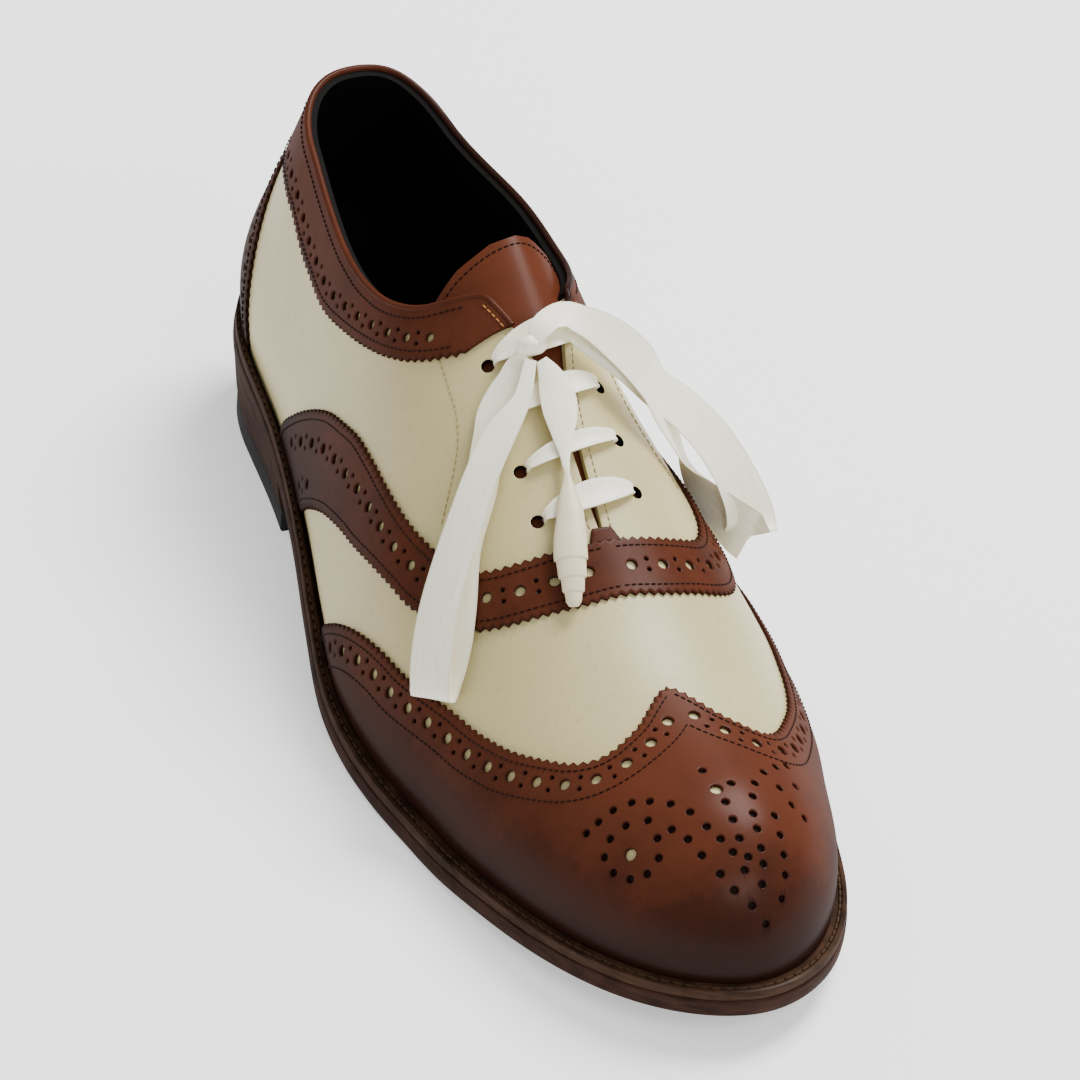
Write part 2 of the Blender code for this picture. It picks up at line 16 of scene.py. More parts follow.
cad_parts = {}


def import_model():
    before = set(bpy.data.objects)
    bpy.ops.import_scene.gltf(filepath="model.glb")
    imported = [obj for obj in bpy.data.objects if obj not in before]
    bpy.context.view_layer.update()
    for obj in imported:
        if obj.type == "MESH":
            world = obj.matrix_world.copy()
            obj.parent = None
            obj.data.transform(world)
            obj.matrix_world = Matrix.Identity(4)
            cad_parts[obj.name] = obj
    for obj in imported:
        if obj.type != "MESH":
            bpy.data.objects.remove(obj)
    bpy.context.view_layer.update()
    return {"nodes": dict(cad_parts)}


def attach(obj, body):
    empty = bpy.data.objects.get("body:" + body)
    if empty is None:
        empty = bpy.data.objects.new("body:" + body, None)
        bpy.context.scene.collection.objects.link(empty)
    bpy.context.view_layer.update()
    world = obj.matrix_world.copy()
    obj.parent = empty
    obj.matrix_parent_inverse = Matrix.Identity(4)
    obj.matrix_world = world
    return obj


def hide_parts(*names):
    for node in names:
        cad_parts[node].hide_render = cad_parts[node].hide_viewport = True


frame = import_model()

MM = 0.001
MIDDLE_X = 1.16
MIDDLE_S = 150.4
LATERAL = -1.0
MEDIAL = 1.0
SIDES = (LATERAL, MEDIAL)
RIDGE = 90.0
SMALL = 1e-9
TINY = 1e-12
FULL_TURN = 2 * math.pi

# The last and the sole
HEEL_S = 38.0
BACK_S = 2.6
HEEL_FAN = 50.0
BACK_A = HEEL_S - HEEL_FAN
HEEL_ROUND = 2.4
HEEL_SWELL = 7.0
SWELL_Z = 16.0
HEEL_SWELL_RISE = 6.0
TIP_S = 299.0
TOE_S = 222.0
TOE_ROUND = 1.86
RISE_S = 262.0
RISE_ROUND = 2.3
STATION_COLUMNS = ("s", "lateral", "medial", "ridge", "top", "square", "swell_lat", "swell_med")
STATIONS = np.array((
    (0, 26.5, 23.0, 0.0, 126.5, 1.22, 1.9, 2.0),
    (38, 30.8, 26.6, 0.0, 126.5, 1.24, 1.9, 2.0),
    (70, 36.5, 30.6, 2.6, 123.0, 1.48, 1.6, 3.2),
    (100, 42.5, 31.0, 4.0, 112.0, 1.65, 2.0, 5.4),
    (130, 48.5, 35.0, 4.0, 98.0, 1.74, 2.6, 6.2),
    (160, 52.8, 44.5, 3.2, 82.0, 1.83, 2.9, 5.5),
    (190, 51.8, 49.0, 2.9, 66.5, 1.92, 2.3, 3.0),
    (215, 48.5, 47.0, 3.4, 56.2, 2.10, 1.8, 2.3),
    (240, 46.0, 41.5, 3.9, 51.2, 2.26, 1.6, 2.3),
    (265, 45.8, 40.5, 4.2, 49.3, 2.36, 1.5, 1.8),
    (299, 47.5, 42.5, 3.4, 48.0, 2.40, 1.5, 1.5),
))
SOLE_COLUMNS = ("s", "under", "edge")
SOLE = np.array((
    (0, 23.5, 3.2), (30, 20.5, 3.0), (75, 16.8, 3.2), (110, 10.6, 3.8), (145, 3.4, 4.6),
    (180, 0.0, 5.4), (215, 0.0, 5.6), (245, 2.4, 5.3), (275, 5.2, 5.1), (304, 8.5, 5.0),
))
FLAT_FROM = 180.0
FLAT_TO = 215.0
COLLAR_COLUMNS = ("s", "lateral", "medial", "band_girth")
COLLAR = np.array((
    (-12, 95.3, 95.3, 38.4), (5, 94.7, 94.7, 38.6), (22, 92.8, 91.8, 39.0), (38, 90.0, 88.6, 38.8),
    (58, 85.6, 86.8, 34.4), (75.5, 83.2, 87.0, 33.2), (92.5, 83.6, 88.6, 37.2), (105, 86.3, 91.2, 42.0),
    (115, 91.0, 94.0, 47.4), (123.5, 98.4, 96.4, 54.0), (130, 99.0, 97.0, 62.0),
    (133.5, 99.0, 97.0, 69.0), (136, 99.0, 97.0, 80.0),
))
THROAT_COLUMNS = ("s", "gap")
THROAT = np.array((
    (123.5, 22.0), (133.5, 14.0), (143.5, 8.0), (155.5, 4.0), (168.5, 2.2), (180, 1.6), (191, 0.0),
))
CORNER_A = 123.5
CORNER_STEP = 0.01
VAMP_A = 191.0
WALL = 2.0
SOLE_THICK = 5.0
WELT_THICK = 2.7
SEAT_GAP = 0.45
GAP = 0.35
WELT_CLEAR = -0.7
HEEL_BREAST = 77.0
HEEL_AHEAD = (TIP_S, TOE_S, 123.5)
HEEL_GAP = 0.14
LIFT_THICK = 6.0
# Profiles from the ground up: height, or part of it, and inset from the sole's edge
SOLE_PROFILE = (
    (0.0, 2.2), (0.02, 1.2), (0.09, 0.55), (0.22, 0.15), (0.5, 0.0), (0.82, 0.0), (0.95, 0.12), (1.0, 0.35),
)
LIFT_PROFILE = ((0.0, 3.2), (0.5, 2.75), (5.4, 2.6), (LIFT_THICK, 2.9))
# Section of the welt: part of its height, share of its width; the groove is its lowest two rows on top
WELT_PROFILE = (
    (0.0, 0.0), (0.0, 0.97), (0.08, 1.0), (0.7, 1.0), (0.92, 0.95), (1.0, 0.84), (1.0, 0.68),
    (0.84, 0.58), (0.84, 0.48), (1.0, 0.36), (1.04, 0.0),
)
WELT_GROOVE = (7, 8)

# Panels of the upper; their edges are rows of girth and station
PANEL_GAP = 0.12
PANEL_THICK = 1.05
PANEL_TOP = PANEL_GAP + PANEL_THICK
# Dark sheet under the brown panels: painted shade seen through their small holes
HOLE_SHADE_GAP = 0.02
HOLE_SHADE_THICK = PANEL_GAP - 0.04
FOOT_GIRTH = 0.3
TOE_CLEAR = 0.3
WING_EDGE = np.array((
    (0, 135), (7.5, 141.5), (12, 147), (17.7, 156), (22, 165.5), (25, 175), (27.3, 186),
    (29.7, 194.5), (32.4, 204), (34.8, 214), (37.2, 220.5), (39.8, 226.5), (43, 231.5),
    (46.5, 236), (50, 239.8), (54, 242.6), (58.5, 244.2), (63.5, 244.3), (69.4, 242.8), (76, 240),
    (82.6, 235), (87, 231.5), (90, 230),
))
WING_PEAK = 229.6
BAND = np.array((
    (0.5, 67, 0.5, 94.5), (8.8, 73, 8.0, 103), (15, 81, 13, 110.5), (20.6, 90, 17.2, 118),
    (25.7, 100, 21.8, 129), (30, 111, 26.4, 142.5), (33.8, 121, 30.4, 153.5), (36.4, 131, 33.4, 163),
    (38.8, 141, 36.0, 172.5), (41.4, 151, 39.2, 180), (45, 163, 43.2, 187), (50, 174.5, 48.7, 193),
    (57, 182.5, 56, 197.2), (66.6, 186, 66, 200.2), (77, 187.5, 77, 202), (90, 188, 90, 202),
))
STRIP = np.array(((0.5, 37), (8, 36), (15, 34), (21, 30.5), (27, 25), (32.5, 18), (37.6, 11)))
FACING_SEAM = np.array((
    (60, 127), (60.6, 132), (61.2, 138), (61.6, 144), (60.6, 150), (57.6, 156), (53.8, 161), (50.4, 165),
))
SLIT_TAB = np.array(((87.2, 184.6), (92.8, 184.6), (94.8, 188.6), (85.2, 188.6)))
COLLAR_FRONT = 133.0
TURNED_LIFT = 0.5
TURNED_RADIUS = 0.95
# Turned collar edge: darkness at the back and lateral side, then on the medial side, where the extra dark is
# painted shade; it darkens over this reach from the back
TURNED_SHADES = (0.3, 0.8)
TURNED_FADE = 60.0
TONGUE_COLUMNS = ("s", "girth")
TONGUE = np.array(((111, 60), (120, 59), (135, 61), (150, 63.5), (165, 67), (178, 70), (187, 74)))
# Top of the tongue, each side: station, depth and girth that round its corner, lean over the medial side
TONGUE_TOP = {LATERAL: (112.0, 7.0, 9.0, 0.0), MEDIAL: (107.0, 4.0, 4.0, 8.0)}
TONGUE_LEAN_END = 150.0
TONGUE_TRIM = 2.0
TONGUE_GAP = 0.45
TONGUE_THICK = 1.6
TOOTH = 2.5
TOOTH_DEPTH = 1.0

# Spacing of the points that make the panels
FINE_STEP = 1.0
LINE_STEP = 1.2
RIM_STEP = 1.6
EDGE_RING = 0.9
EDGE_CLEAR = 0.55
HOLE_RING = 0.4
HOLE_CLEAR = 0.5
GRID_ROW = 0.87
GRID_CLEAR = 0.6
RIM_REACH = 0.2
SEAM_REACH = 0.01
SEAM_POINTS = 70
INSIDE_ONLY = 1
SAME_PLACE = 1e-7
EDGE_END = 89.4
ROW_END = 89.6

# Stitches: distance from a panel's edge; then pitch, length, radius and how far they sink
STITCH_INSET = 2.2
INNER_INSET = 10.2
RIM_INSET = 2.6
END_INSET = 2.0
FACING_INSET = 2.3
FACING_STITCH = (1.9, 1.4, 0.17)
END_STITCH = (1.7, 1.3, 0.22)
WELT_STITCH = (3.1, 2.7, 0.36, 0.1)

# Holes: distance from a panel's edge; then pitch, large and small radius, spread of the pairs, start
HOLE_INSET = 5.6
STRIP_HOLE_INSET = 4.6
WING_HOLES = (8.3, 1.4, 0.55, 1.6, 0.6)
BAND_HOLES = (8.6, 1.35, 0.55, 1.5, 0.4)
COLLAR_HOLES = (7.8, 1.15, 0.5, 1.4, 0.4)
STRIP_HOLES = (7.0, 0.9, 0.45, 1.2, 0.5)
LARGE_HOLE = 1.05
# Medallion on the toe: station and girth over the ridge, the two large holes first
MEDALLION_RADII = (1.5, 0.98)
MEDALLION_LARGE = ((267.1, 87), (272.5, 43.8))
MEDALLION_SMALL = (
    (260.1, 86), (265.9, 94), (271.4, 88), (276.5, 88), (281.2, 88), (285.4, 90), (287.7, 86), (293.4, 86),
    (276.5, 76), (271.4, 73), (267.1, 68.5), (263.7, 63), (261.3, 57.8), (260.1, 51.2), (260.1, 44.6),
    (260.1, 38.8), (265.9, 42.9), (265.9, 50.4), (268.2, 57.8), (273.5, 62.8), (277.5, 66.1), (273.5, 56.1),
    (277.5, 51.2), (268.2, 36.3), (272.5, 33.9), (276.5, 36.3), (278.5, 42.9), (282.1, 67.7), (280.3, 79.3),
    (283.8, 82.6), (287, 71.8), (290.5, 76), (265.9, 105), (261.3, 111.5), (257.7, 119), (255.3, 125.5),
    (270.4, 101.6), (275.5, 99), (279.4, 99), (283.8, 99), (287, 99), (290.5, 96.6), (284.6, 114),
    (280.3, 112.3), (288.4, 115.6), (292.3, 114.8), (265.9, 117.2), (262.5, 127.2), (270.4, 122.2),
    (275.5, 110.6), (272.5, 129.6), (295.7, 100),
)

# Laces; a bar runs from eyelet to eyelet and on past them, where it dives
EYELETS = ((139.0, 134.6, 72.5), (152.4, 148.2, 73.2), (166.0, 161.8, 73.8), (178.6, 175.0, 74.2))
EYELET_RADIUS = 1.8
ACROSS = np.linspace(-1, 1, 11)
RIBBON_THICK = 0.45
BAR_REACH = 1.16
BAR_INSET = 2.3
BAR_LIFT = 0.7
BAR_BOW = 1.3
BAR_DIVE = 26.0
BAR_WAY = (1.0, 0.0, -0.5)
BAR_THICK = 0.9
BAR_CUP = -0.5
BAR_END_WIDTH = 2.1
BAR_WIDTHS = (8.0, 6.4, 5.0, 7.2)
# Ribbon rows: station, girth over the ridge, lift off the last, width, and its lean if it does not lie flat
LOOP_LATERAL_OUT = (
    (144.5, 83, 6.2, 3), (148.7, 81, 6.2, 3.6), (152.8, 78.6, 6.3, 4.6), (155.5, 75.6, 6.5, 6.4),
    (158.8, 71.7, 6.8, 8.2), (165.1, 65.5, 7.2, 9), (171.8, 59.6, 7.4, 10), (178.5, 52.8, 7.4, 10.8),
    (187.9, 43.4, 7.1, 12), (193.4, 38.6, 6.8, 12.5), (198, 34.3, 6, 12.5), (199.8, 31.9, 4.6, 12.5),
)
LOOP_LATERAL_BACK = (
    (142.6, 82.4, 5, 3), (143.4, 80, 3.8, 5), (145.6, 77.5, 2.9, 6), (148.1, 74, 2.3, 7),
    (150.6, 71.2, 2, 7.4), (155, 68.8, 1.8, 7.6), (164.6, 63.6, 1.7, 9), (175, 54.2, 2, 10.4),
    (186.9, 46.8, 2.2, 11.6), (192.7, 41.9, 2.3, 12.4), (197.4, 36, 2.4, 12.5), (199.6, 32.2, 3, 12.5),
)
LOOP_MEDIAL_OUT = (
    (141.1, 84.7, 7.5, 4, -20), (138.9, 86.6, 8.2, 6, -17), (136.6, 90.1, 7.6, 7, -14),
    (136, 94.3, 7.8, 8, -6), (137.6, 97.8, 8.6, 8.5, 7), (140.5, 104.6, 9.3, 10.5, 24),
    (145.1, 110.6, 10.3, 12, 28), (148.6, 116.5, 9.4, 13, 22), (151.3, 121.4, 8, 13, 25),
    (153.1, 126.3, 6.8, 13, 20), (154.2, 132.5, 5.4, 13, 8), (155.9, 138.3, 5, 13, -20),
    (158.4, 142.5, 5.4, 13, -37), (162.5, 145, 6.4, 13, -52), (166.2, 146.6, 8, 13, -70),
    (167.6, 148, 9.1, 13, -87),
)
LOOP_MEDIAL_BACK = (
    (140.6, 85.3, 4.5, 4, 175), (139.9, 89.7, 5.2, 6, 165), (138.2, 96.4, 5, 7, -176),
    (140.8, 101.5, 6, 8, -162), (144.4, 107.6, 7.6, 10, -162), (147.2, 118.2, 8.2, 12, -153),
    (151.4, 126.6, 11.4, 13, -143),
    (155.6, 133.2, 13, 13, -132), (159.7, 139.9, 13.1, 13, -123), (163.5, 144.9, 12.1, 13, -110),
    (165.8, 147.8, 10.4, 13, -96),
)
LOOP_CUP = 0.3
TAIL_FRONT = (
    (144.8, 85.7, 5.6, 3), (147.7, 86.9, 4.8, 6), (151.8, 87.7, 4.3, 8.8), (157, 87.3, 4, 8.8),
    (162.7, 86.2, 3.7, 5.5), (168.4, 85.1, 3.4, 2.2), (172, 84.4, 3.4, 1.8),
)
TAIL_CUP = -0.5
TAIL_OVERLAP = 3
TAIL_TIP = (
    (171.2, 84.6, 3.4), (174.3, 83.9, 3.5), (181.6, 82, 3.9), (190.4, 78.9, 4.2), (197.7, 76.7, 3.9),
    (202.7, 74.8, 3.0),
)
# Rolled tip: share of its length, half width
TIP_PROFILE = np.array((
    (0.0, 0.7), (0.06, 1.2), (0.16, 2.3), (0.3, 3.3), (0.48, 4.0), (0.62, 4.2), (0.665, 4.2), (0.668, 3.7),
    (0.8, 3.45), (0.803, 2.95), (0.9, 2.7), (0.903, 2.2), (0.97, 1.9), (1.0, 1.2),
))
TIP_FLAT = 0.5
KNOT_AT = (LATERAL, 141.0, 84.4, 5.5)
KNOT_SIZE = (2.8, 3.9, 2.6)

# Camera, light and floor: metres and degrees, the roll in radians, lens and sensor in millimetres
VIEW_AZIMUTH = -24.982
VIEW_ELEVATION = 35.009
VIEW_ROLL = 0.1148
VIEW_DISTANCE = 2.88
VIEW_TARGET = (0.0386, 0.0791, -0.0192)
VIEW_LENS = 373.4
SENSOR = 36.0
VIEW_END = 20.0
FLOOR_REACH = 6.0
FLOOR_GLOW = 0.6
SKY_STRENGTH = 0.62
WHITE = (1, 1, 1, 1)
# Lamps: name, place, target, size, power
LAMPS = (
    ("key", (0.85, 0.5, 1.6), (0, 0, 0.03), (0.8, 0.8), 56),
    ("front", (0.3, -1.5, 1.4), (0, -0.05, 0.03), (1.2, 0.6), 15),
)


def column(table, names, name, at):
    """Smooth value of a named column at a place along the first column."""
    x = table[:, 0]
    y = table[:, names.index(name)]
    at = np.clip(np.asarray(at, float), x[0], x[-1])
    slope = np.gradient(y, x)
    i = np.clip(np.searchsorted(x, at) - 1, 0, len(x) - 2)
    span = x[i + 1] - x[i]
    t = (at - x[i]) / span
    here = (1 + 2 * t) * (1 - t) ** 2 * y[i] + t * (1 - t) ** 2 * span * slope[i]
    there = t * t * (3 - 2 * t) * y[i + 1] + t * t * (t - 1) * span * slope[i + 1]
    return here + there


def between(at, run, rows):
    """Rows of numbers, read off at places along their run."""
    return np.stack([np.interp(at, run, rows[:, k]) for k in range(rows.shape[1])], -1)


def lengths(points):
    return np.concatenate([[0], np.cumsum(np.linalg.norm(np.diff(points, axis=0), axis=1))])


def unit(v):
    return v / np.maximum(np.linalg.norm(v, axis=-1, keepdims=True), TINY)


def cap(at, start, end, power):
    """Falls from 1 at the start to 0 at the end as a rounded nose."""
    r = np.clip((at - start) / (end - start), 0, 1)
    return np.maximum(1 - r ** power, 0) ** (1 / power)


def under(s):
    s = np.asarray(s, float)
    flat = (s > FLAT_FROM) & (s < FLAT_TO)
    return np.where(flat, 0.0, np.maximum(column(SOLE, SOLE_COLUMNS, "under", s), 0))


def seat(s):
    return under(s) + SOLE_THICK


def last(name, s):
    return column(STATIONS, STATION_COLUMNS, name, s)


def sided(side, lateral, medial):
    return np.where(np.asarray(side) < 0, lateral, medial)


def foot(side, a):
    """Distance s, half width and heel angle of a place on the feather line."""
    a = np.asarray(a, float)
    turn = np.clip((HEEL_S - a) / HEEL_FAN, 0, 1) * math.pi / 2
    s = np.where(a >= HEEL_S, a, HEEL_S - (HEEL_S - BACK_S) * np.sin(turn) ** (2 / HEEL_ROUND))
    width = sided(side, last("lateral", s), last("medial", s)) * cap(s, TOE_S, TIP_S, TOE_ROUND)
    heel = np.where(turn > 0, np.maximum(np.cos(turn), 0) ** (2 / HEEL_ROUND), 1.0)
    return s, width * heel, turn


def rise(s, axis):
    """Foot of the upper, its full height there, and how square its section is."""
    base = seat(s) + SEAT_GAP
    return base, (last("top", axis) - base) * cap(s, RISE_S, TIP_S, RISE_ROUND), last("square", axis)


def surface(side, a, girth):
    """Outside of the upper as (s, x, z)."""
    side = np.asarray(side, float)
    s, width, turn = foot(side, a)
    fan = turn > 0
    axis = np.where(fan, HEEL_S, s)
    back = s - axis
    spread = np.maximum(np.where(fan, np.hypot(back, width), width), SMALL)
    along = np.where(fan, back / spread, 0.0)
    across = np.where(fan, side * width / spread, side)
    base, height, square = rise(s, axis)
    angle = np.radians(girth)
    z = height * np.maximum(np.sin(angle), 0) ** (2 / square)
    swell = sided(side, last("swell_lat", axis), last("swell_med", axis)) * cap(s, TOE_S, TIP_S, TOE_ROUND)
    heel = np.sin(turn) ** 2
    swell = swell + (HEEL_SWELL - swell) * heel
    q = z / (SWELL_Z + HEEL_SWELL_RISE * heel)
    out = (spread + swell * q * q * np.exp(2 - 2 * q)) * np.cos(angle)
    return np.stack([axis + along * out, last("ridge", axis) + across * out, base + z], -1)


def normal(side, a, girth, run_step=0.04, climb_step=0.05, back_clear=0.1, tip_clear=0.05, lowest=2.0):
    """Outward direction of the surface as (s, x, z)."""
    side = np.asarray(side, float) + 0 * np.asarray(a, float)
    a = np.clip(np.asarray(a, float), BACK_A + back_clear, TIP_S - tip_clear)
    girth = np.clip(np.asarray(girth, float), lowest, RIDGE)
    run = surface(side, a + run_step, girth) - surface(side, a - run_step, girth)
    climb = surface(side, a, girth + climb_step) - surface(side, a, girth - climb_step)
    return unit(np.cross(climb, run) * side[..., None])


def lifted(side, a, girth, lift):
    return surface(side, a, girth) + normal(side, a, girth) * np.asarray(lift, float)[..., None]


def feather(side, a):
    return surface(side, a, 0 * a)


def girth_at(a, height, most=0.9999):
    """Girth at which the upper reaches a height."""
    s, _, turn = foot(LATERAL, a)
    base, full, square = rise(s, np.where(turn > 0, HEEL_S, s))
    part = np.clip((height - base) / np.maximum(full, SMALL), 0, most)
    return np.degrees(np.arcsin(part ** (square / 2)))


def top_girth(side, a):
    """Girth at which the upper ends: the collar, the throat edge or the ridge."""
    a = np.asarray(a, float)
    heights = [column(COLLAR, COLLAR_COLUMNS, name, a) for name in ("lateral", "medial")]
    _, width, _ = foot(side, a)
    half = column(THROAT, THROAT_COLUMNS, "gap", a) / 2
    facing = np.degrees(np.arccos(np.clip(half / np.maximum(width, SMALL), 0, 1)))
    return np.where(a < CORNER_A, girth_at(a, sided(side, *heights)), np.where(a < VAMP_A, facing, RIDGE))


def world(points):
    p = np.asarray(points, float)
    return np.stack([p[..., 1] - MIDDLE_X, MIDDLE_S - p[..., 0], p[..., 2]], -1) * MM


def nose_stations(count):
    """Stations round the toe, evenly turned."""
    turn = np.linspace(0, math.pi / 2, count)
    return TOE_S + (TIP_S - TOE_S) * np.sin(turn) ** (2 / TOE_ROUND)


# Stations round the feather line and how far along it they lie
REACH_A = np.concatenate([
    np.linspace(BACK_A, HEEL_S, 120)[:-1], np.arange(HEEL_S, TOE_S, FINE_STEP), nose_stations(160),
])
REACH_U = lengths(feather(LATERAL, REACH_A))


def reach(a):
    return np.interp(a, REACH_A, REACH_U)


def station(u):
    return np.interp(u, REACH_U, REACH_A)


def half_girth(w):
    """Side and girth of a girth that runs on over the ridge, from 0 to 180."""
    over = w > RIDGE
    return np.where(over, MEDIAL, LATERAL), np.where(over, 2 * RIDGE - w, w)


def over_ridge(p):
    """Chart of the shoe opened at the heel: reach from the heel, girth 0 to 180 over the ridge."""
    side, girth = half_girth(p[..., 1])
    return side, station(p[..., 0]), girth


def round_heel(p):
    """Chart of the shoe opened at the ridge: reach either way from the back of the heel, girth."""
    return np.where(p[..., 0] > 0, MEDIAL, LATERAL), station(np.abs(p[..., 0])), p[..., 1]


def lay(chart, p, lift=0.0):
    return lifted(*chart(p), lift)


def slopes(chart, p, h=0.05):
    """How a chart place moves on the surface with each of its two numbers."""
    steps = ((h, 0.0), (0.0, h))
    return [(surface(*chart(p + step)) - surface(*chart(p - step))) / (2 * h) for step in steps]


def nudge(chart, p, move):
    """Chart places moved by a short vector that lies along the surface."""
    du, dw = slopes(chart, p)
    a, b, c = (du * du).sum(-1), (du * dw).sum(-1), (dw * dw).sum(-1)
    f, g = (du * move).sum(-1), (dw * move).sum(-1)
    det = np.maximum(a * c - b * b, SMALL)
    return p + np.stack([(c * f - b * g) / det, (a * g - b * f) / det], -1)


def even(chart, p, step):
    """Chart line respaced evenly on the surface."""
    run = lengths(lay(chart, p))
    return between(np.linspace(0, run[-1], max(int(round(run[-1] / step)), 1) + 1), run, p)


def through(points, step, fewest=4):
    """Even points along a smooth curve through the given ones."""
    run = lengths(points[:, :3])
    at = np.linspace(0, run[-1], max(int(run[-1] / step), fewest) + 1)
    table = np.column_stack([run, points])
    names = tuple(range(table.shape[1]))
    return np.stack([column(table, names, k, at) for k in names[1:]], -1)


def on_chart(girth, s):
    return np.column_stack([reach(s), girth])


def drawn(chart, girth, s, step=LINE_STEP):
    """Even chart line, drawn smoothly through girths and stations."""
    rows = np.column_stack([on_chart(girth, s), 0 * s])
    return even(chart, through(rows, LINE_STEP)[:, :2], step)


def sideways(chart, p):
    """Direction on the surface to the left of a chart line."""
    return unit(np.cross(normal(*chart(p)), np.gradient(lay(chart, p), axis=0)))


def beside(chart, p, distance, longest=1.5):
    """Chart line moved to its left over the surface."""
    steps = max(int(math.ceil(abs(distance) / longest)), 1)
    for _ in range(steps):
        p = nudge(chart, p, sideways(chart, p) * distance / steps)
    return p


def inset(chart, p, distance):
    return even(chart, beside(chart, p, distance), FINE_STEP)


def gimped(chart, p):
    """Chart line cut into small teeth."""
    p = even(chart, p, TOOTH / 2)
    swing = TOOTH_DEPTH / 2 * (-1.0) ** np.arange(len(p))
    swing[[0, -1]] = 0
    return nudge(chart, p, sideways(chart, p) * swing[:, None])


def on_side(side, line):
    """A lateral chart line, or its mirror over the ridge."""
    return line if side < 0 else np.column_stack([line[:, 0], 2 * RIDGE - line[:, 1]])


def ridge_join(half):
    """A lateral chart line, ending at the ridge, carried on to its mirror on the medial side."""
    half = half[half[:, 1] < EDGE_END]
    return np.concatenate([half, on_side(MEDIAL, half)[::-1]])


def round_back(lateral, medial):
    """A line from the lateral side round the heel to the medial side."""
    return np.concatenate([lateral[::-1] * (-1, 1), medial[1:]])


def welt_line(u):
    """Chart line at these reaches just above the welt, where the panels start."""
    a = station(np.abs(u))
    return np.column_stack([u, girth_at(a, seat(foot(LATERAL, a)[0]) + GAP + WELT_THICK + WELT_CLEAR)])


def above_welt(line):
    return line[line[:, 1] > welt_line(line[:, 0])[:, 1]]


def rim_line(side, stations):
    return on_chart(top_girth(side, stations), stations)


def rim_stations(end, behind, ahead):
    """Stations along the collar and past the corner where its rim turns."""
    back = np.linspace(BACK_A, CORNER_A - CORNER_STEP, behind)
    return np.concatenate([back, np.linspace(CORNER_A + CORNER_STEP, end, ahead)])


def round_turn(count):
    return np.linspace(0, FULL_TURN, count, endpoint=False)[None, :, None]


def punched(chart, centres, radii, count=12):
    """Round holes as chart loops."""
    p = np.repeat(centres[:, None, :], count, 1)
    along = unit(slopes(chart, p)[0])
    across = np.cross(normal(*chart(p)), along)
    turn = round_turn(count)
    return nudge(chart, p, (along * np.cos(turn) + across * np.sin(turn)) * radii[:, None, None])


def inside(points, loop):
    """Whether chart points lie inside a closed loop."""
    x, y = points[:, 0:1], points[:, 1:2]
    x0, y0 = loop[:, 0], loop[:, 1]
    x1, y1 = np.roll(x0, -1), np.roll(y0, -1)
    span = np.where(np.abs(y1 - y0) < TINY, TINY, y1 - y0)
    cross = ((y0 > y) != (y1 > y)) & (x < x0 + (y - y0) * (x1 - x0) / span)
    return cross.sum(1) % 2 == 1


def nearest(points, others, block=400):
    """Distance from each point to the closest of the others."""
    found = np.full(len(points), np.inf)
    for k in range(0, len(others), block):
        gap = points[:, None, :] - others[None, k:k + block, :]
        found = np.minimum(found, np.sqrt((gap * gap).sum(-1)).min(1))
    return found


def mesh_piece(name, points, faces, finishes, attributes=(), face_finish=None, loop_normals=None):
    """Object from points in metres, with smooth faces and its finishes."""
    mesh = bpy.data.meshes.new(name)
    mesh.from_pydata(np.asarray(points).tolist(), [], [tuple(f) for f in faces])
    for key, values in dict(attributes).items():
        mesh.attributes.new(key, "FLOAT", "POINT").data.foreach_set("value", np.asarray(values, np.float32))
    for finish in finishes:
        mesh.materials.append(finish)
    mesh.polygons.foreach_set("use_smooth", [True] * len(mesh.polygons))
    if face_finish is not None:
        mesh.polygons.foreach_set("material_index", face_finish)
    if loop_normals is not None:
        mesh.normals_split_custom_set(loop_normals)
    made = bpy.data.objects.new(name, mesh)
    bpy.context.scene.collection.objects.link(made)
    return made


def fit(made, node):
    """Every piece rides on the shoe and stands for its solid."""
    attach(made, "root")
    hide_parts(node)
    return made


def solid(name, node, points, faces, finish, attributes=(), angle=38, doubled=0.00002):
    """Piece with doubled points joined, its faces turned outward and hard corners crisp."""
    made = mesh_piece(name, world(points), faces, [finish], attributes)
    bm = bmesh.new()
    bm.from_mesh(made.data)
    bmesh.ops.remove_doubles(bm, verts=bm.verts[:], dist=doubled)
    bmesh.ops.recalc_face_normals(bm, faces=bm.faces[:])
    if bm.calc_volume(signed=True) < 0:
        bmesh.ops.reverse_faces(bm, faces=bm.faces[:])
    bm.to_mesh(made.data)
    bm.free()
    made.data.set_sharp_from_angle(angle=math.radians(angle))
    return fit(made, node)


def ring_faces(count, size, closed=False):
    """Faces of a skin through rings of points, which closes on itself or has a cap at either end."""
    faces = []
    for i in range(count if closed else count - 1):
        low, high = i * size, (i + 1) % count * size
        faces += [(low + k, low + (k + 1) % size, high + (k + 1) % size, high + k) for k in range(size)]
    if not closed:
        faces.append(tuple(range(size))[::-1])
        faces.append(tuple((count - 1) * size + k for k in range(size)))
    return faces


def tube(name, node, rings, finish, attributes):
    """Closed tube through rings of points."""
    shape = rings.shape[:2]
    attributes = {key: np.broadcast_to(value, shape).ravel() for key, value in attributes.items()}
    return solid(name, node, rings.reshape(-1, 3), ring_faces(*shape), finish, attributes, 60)


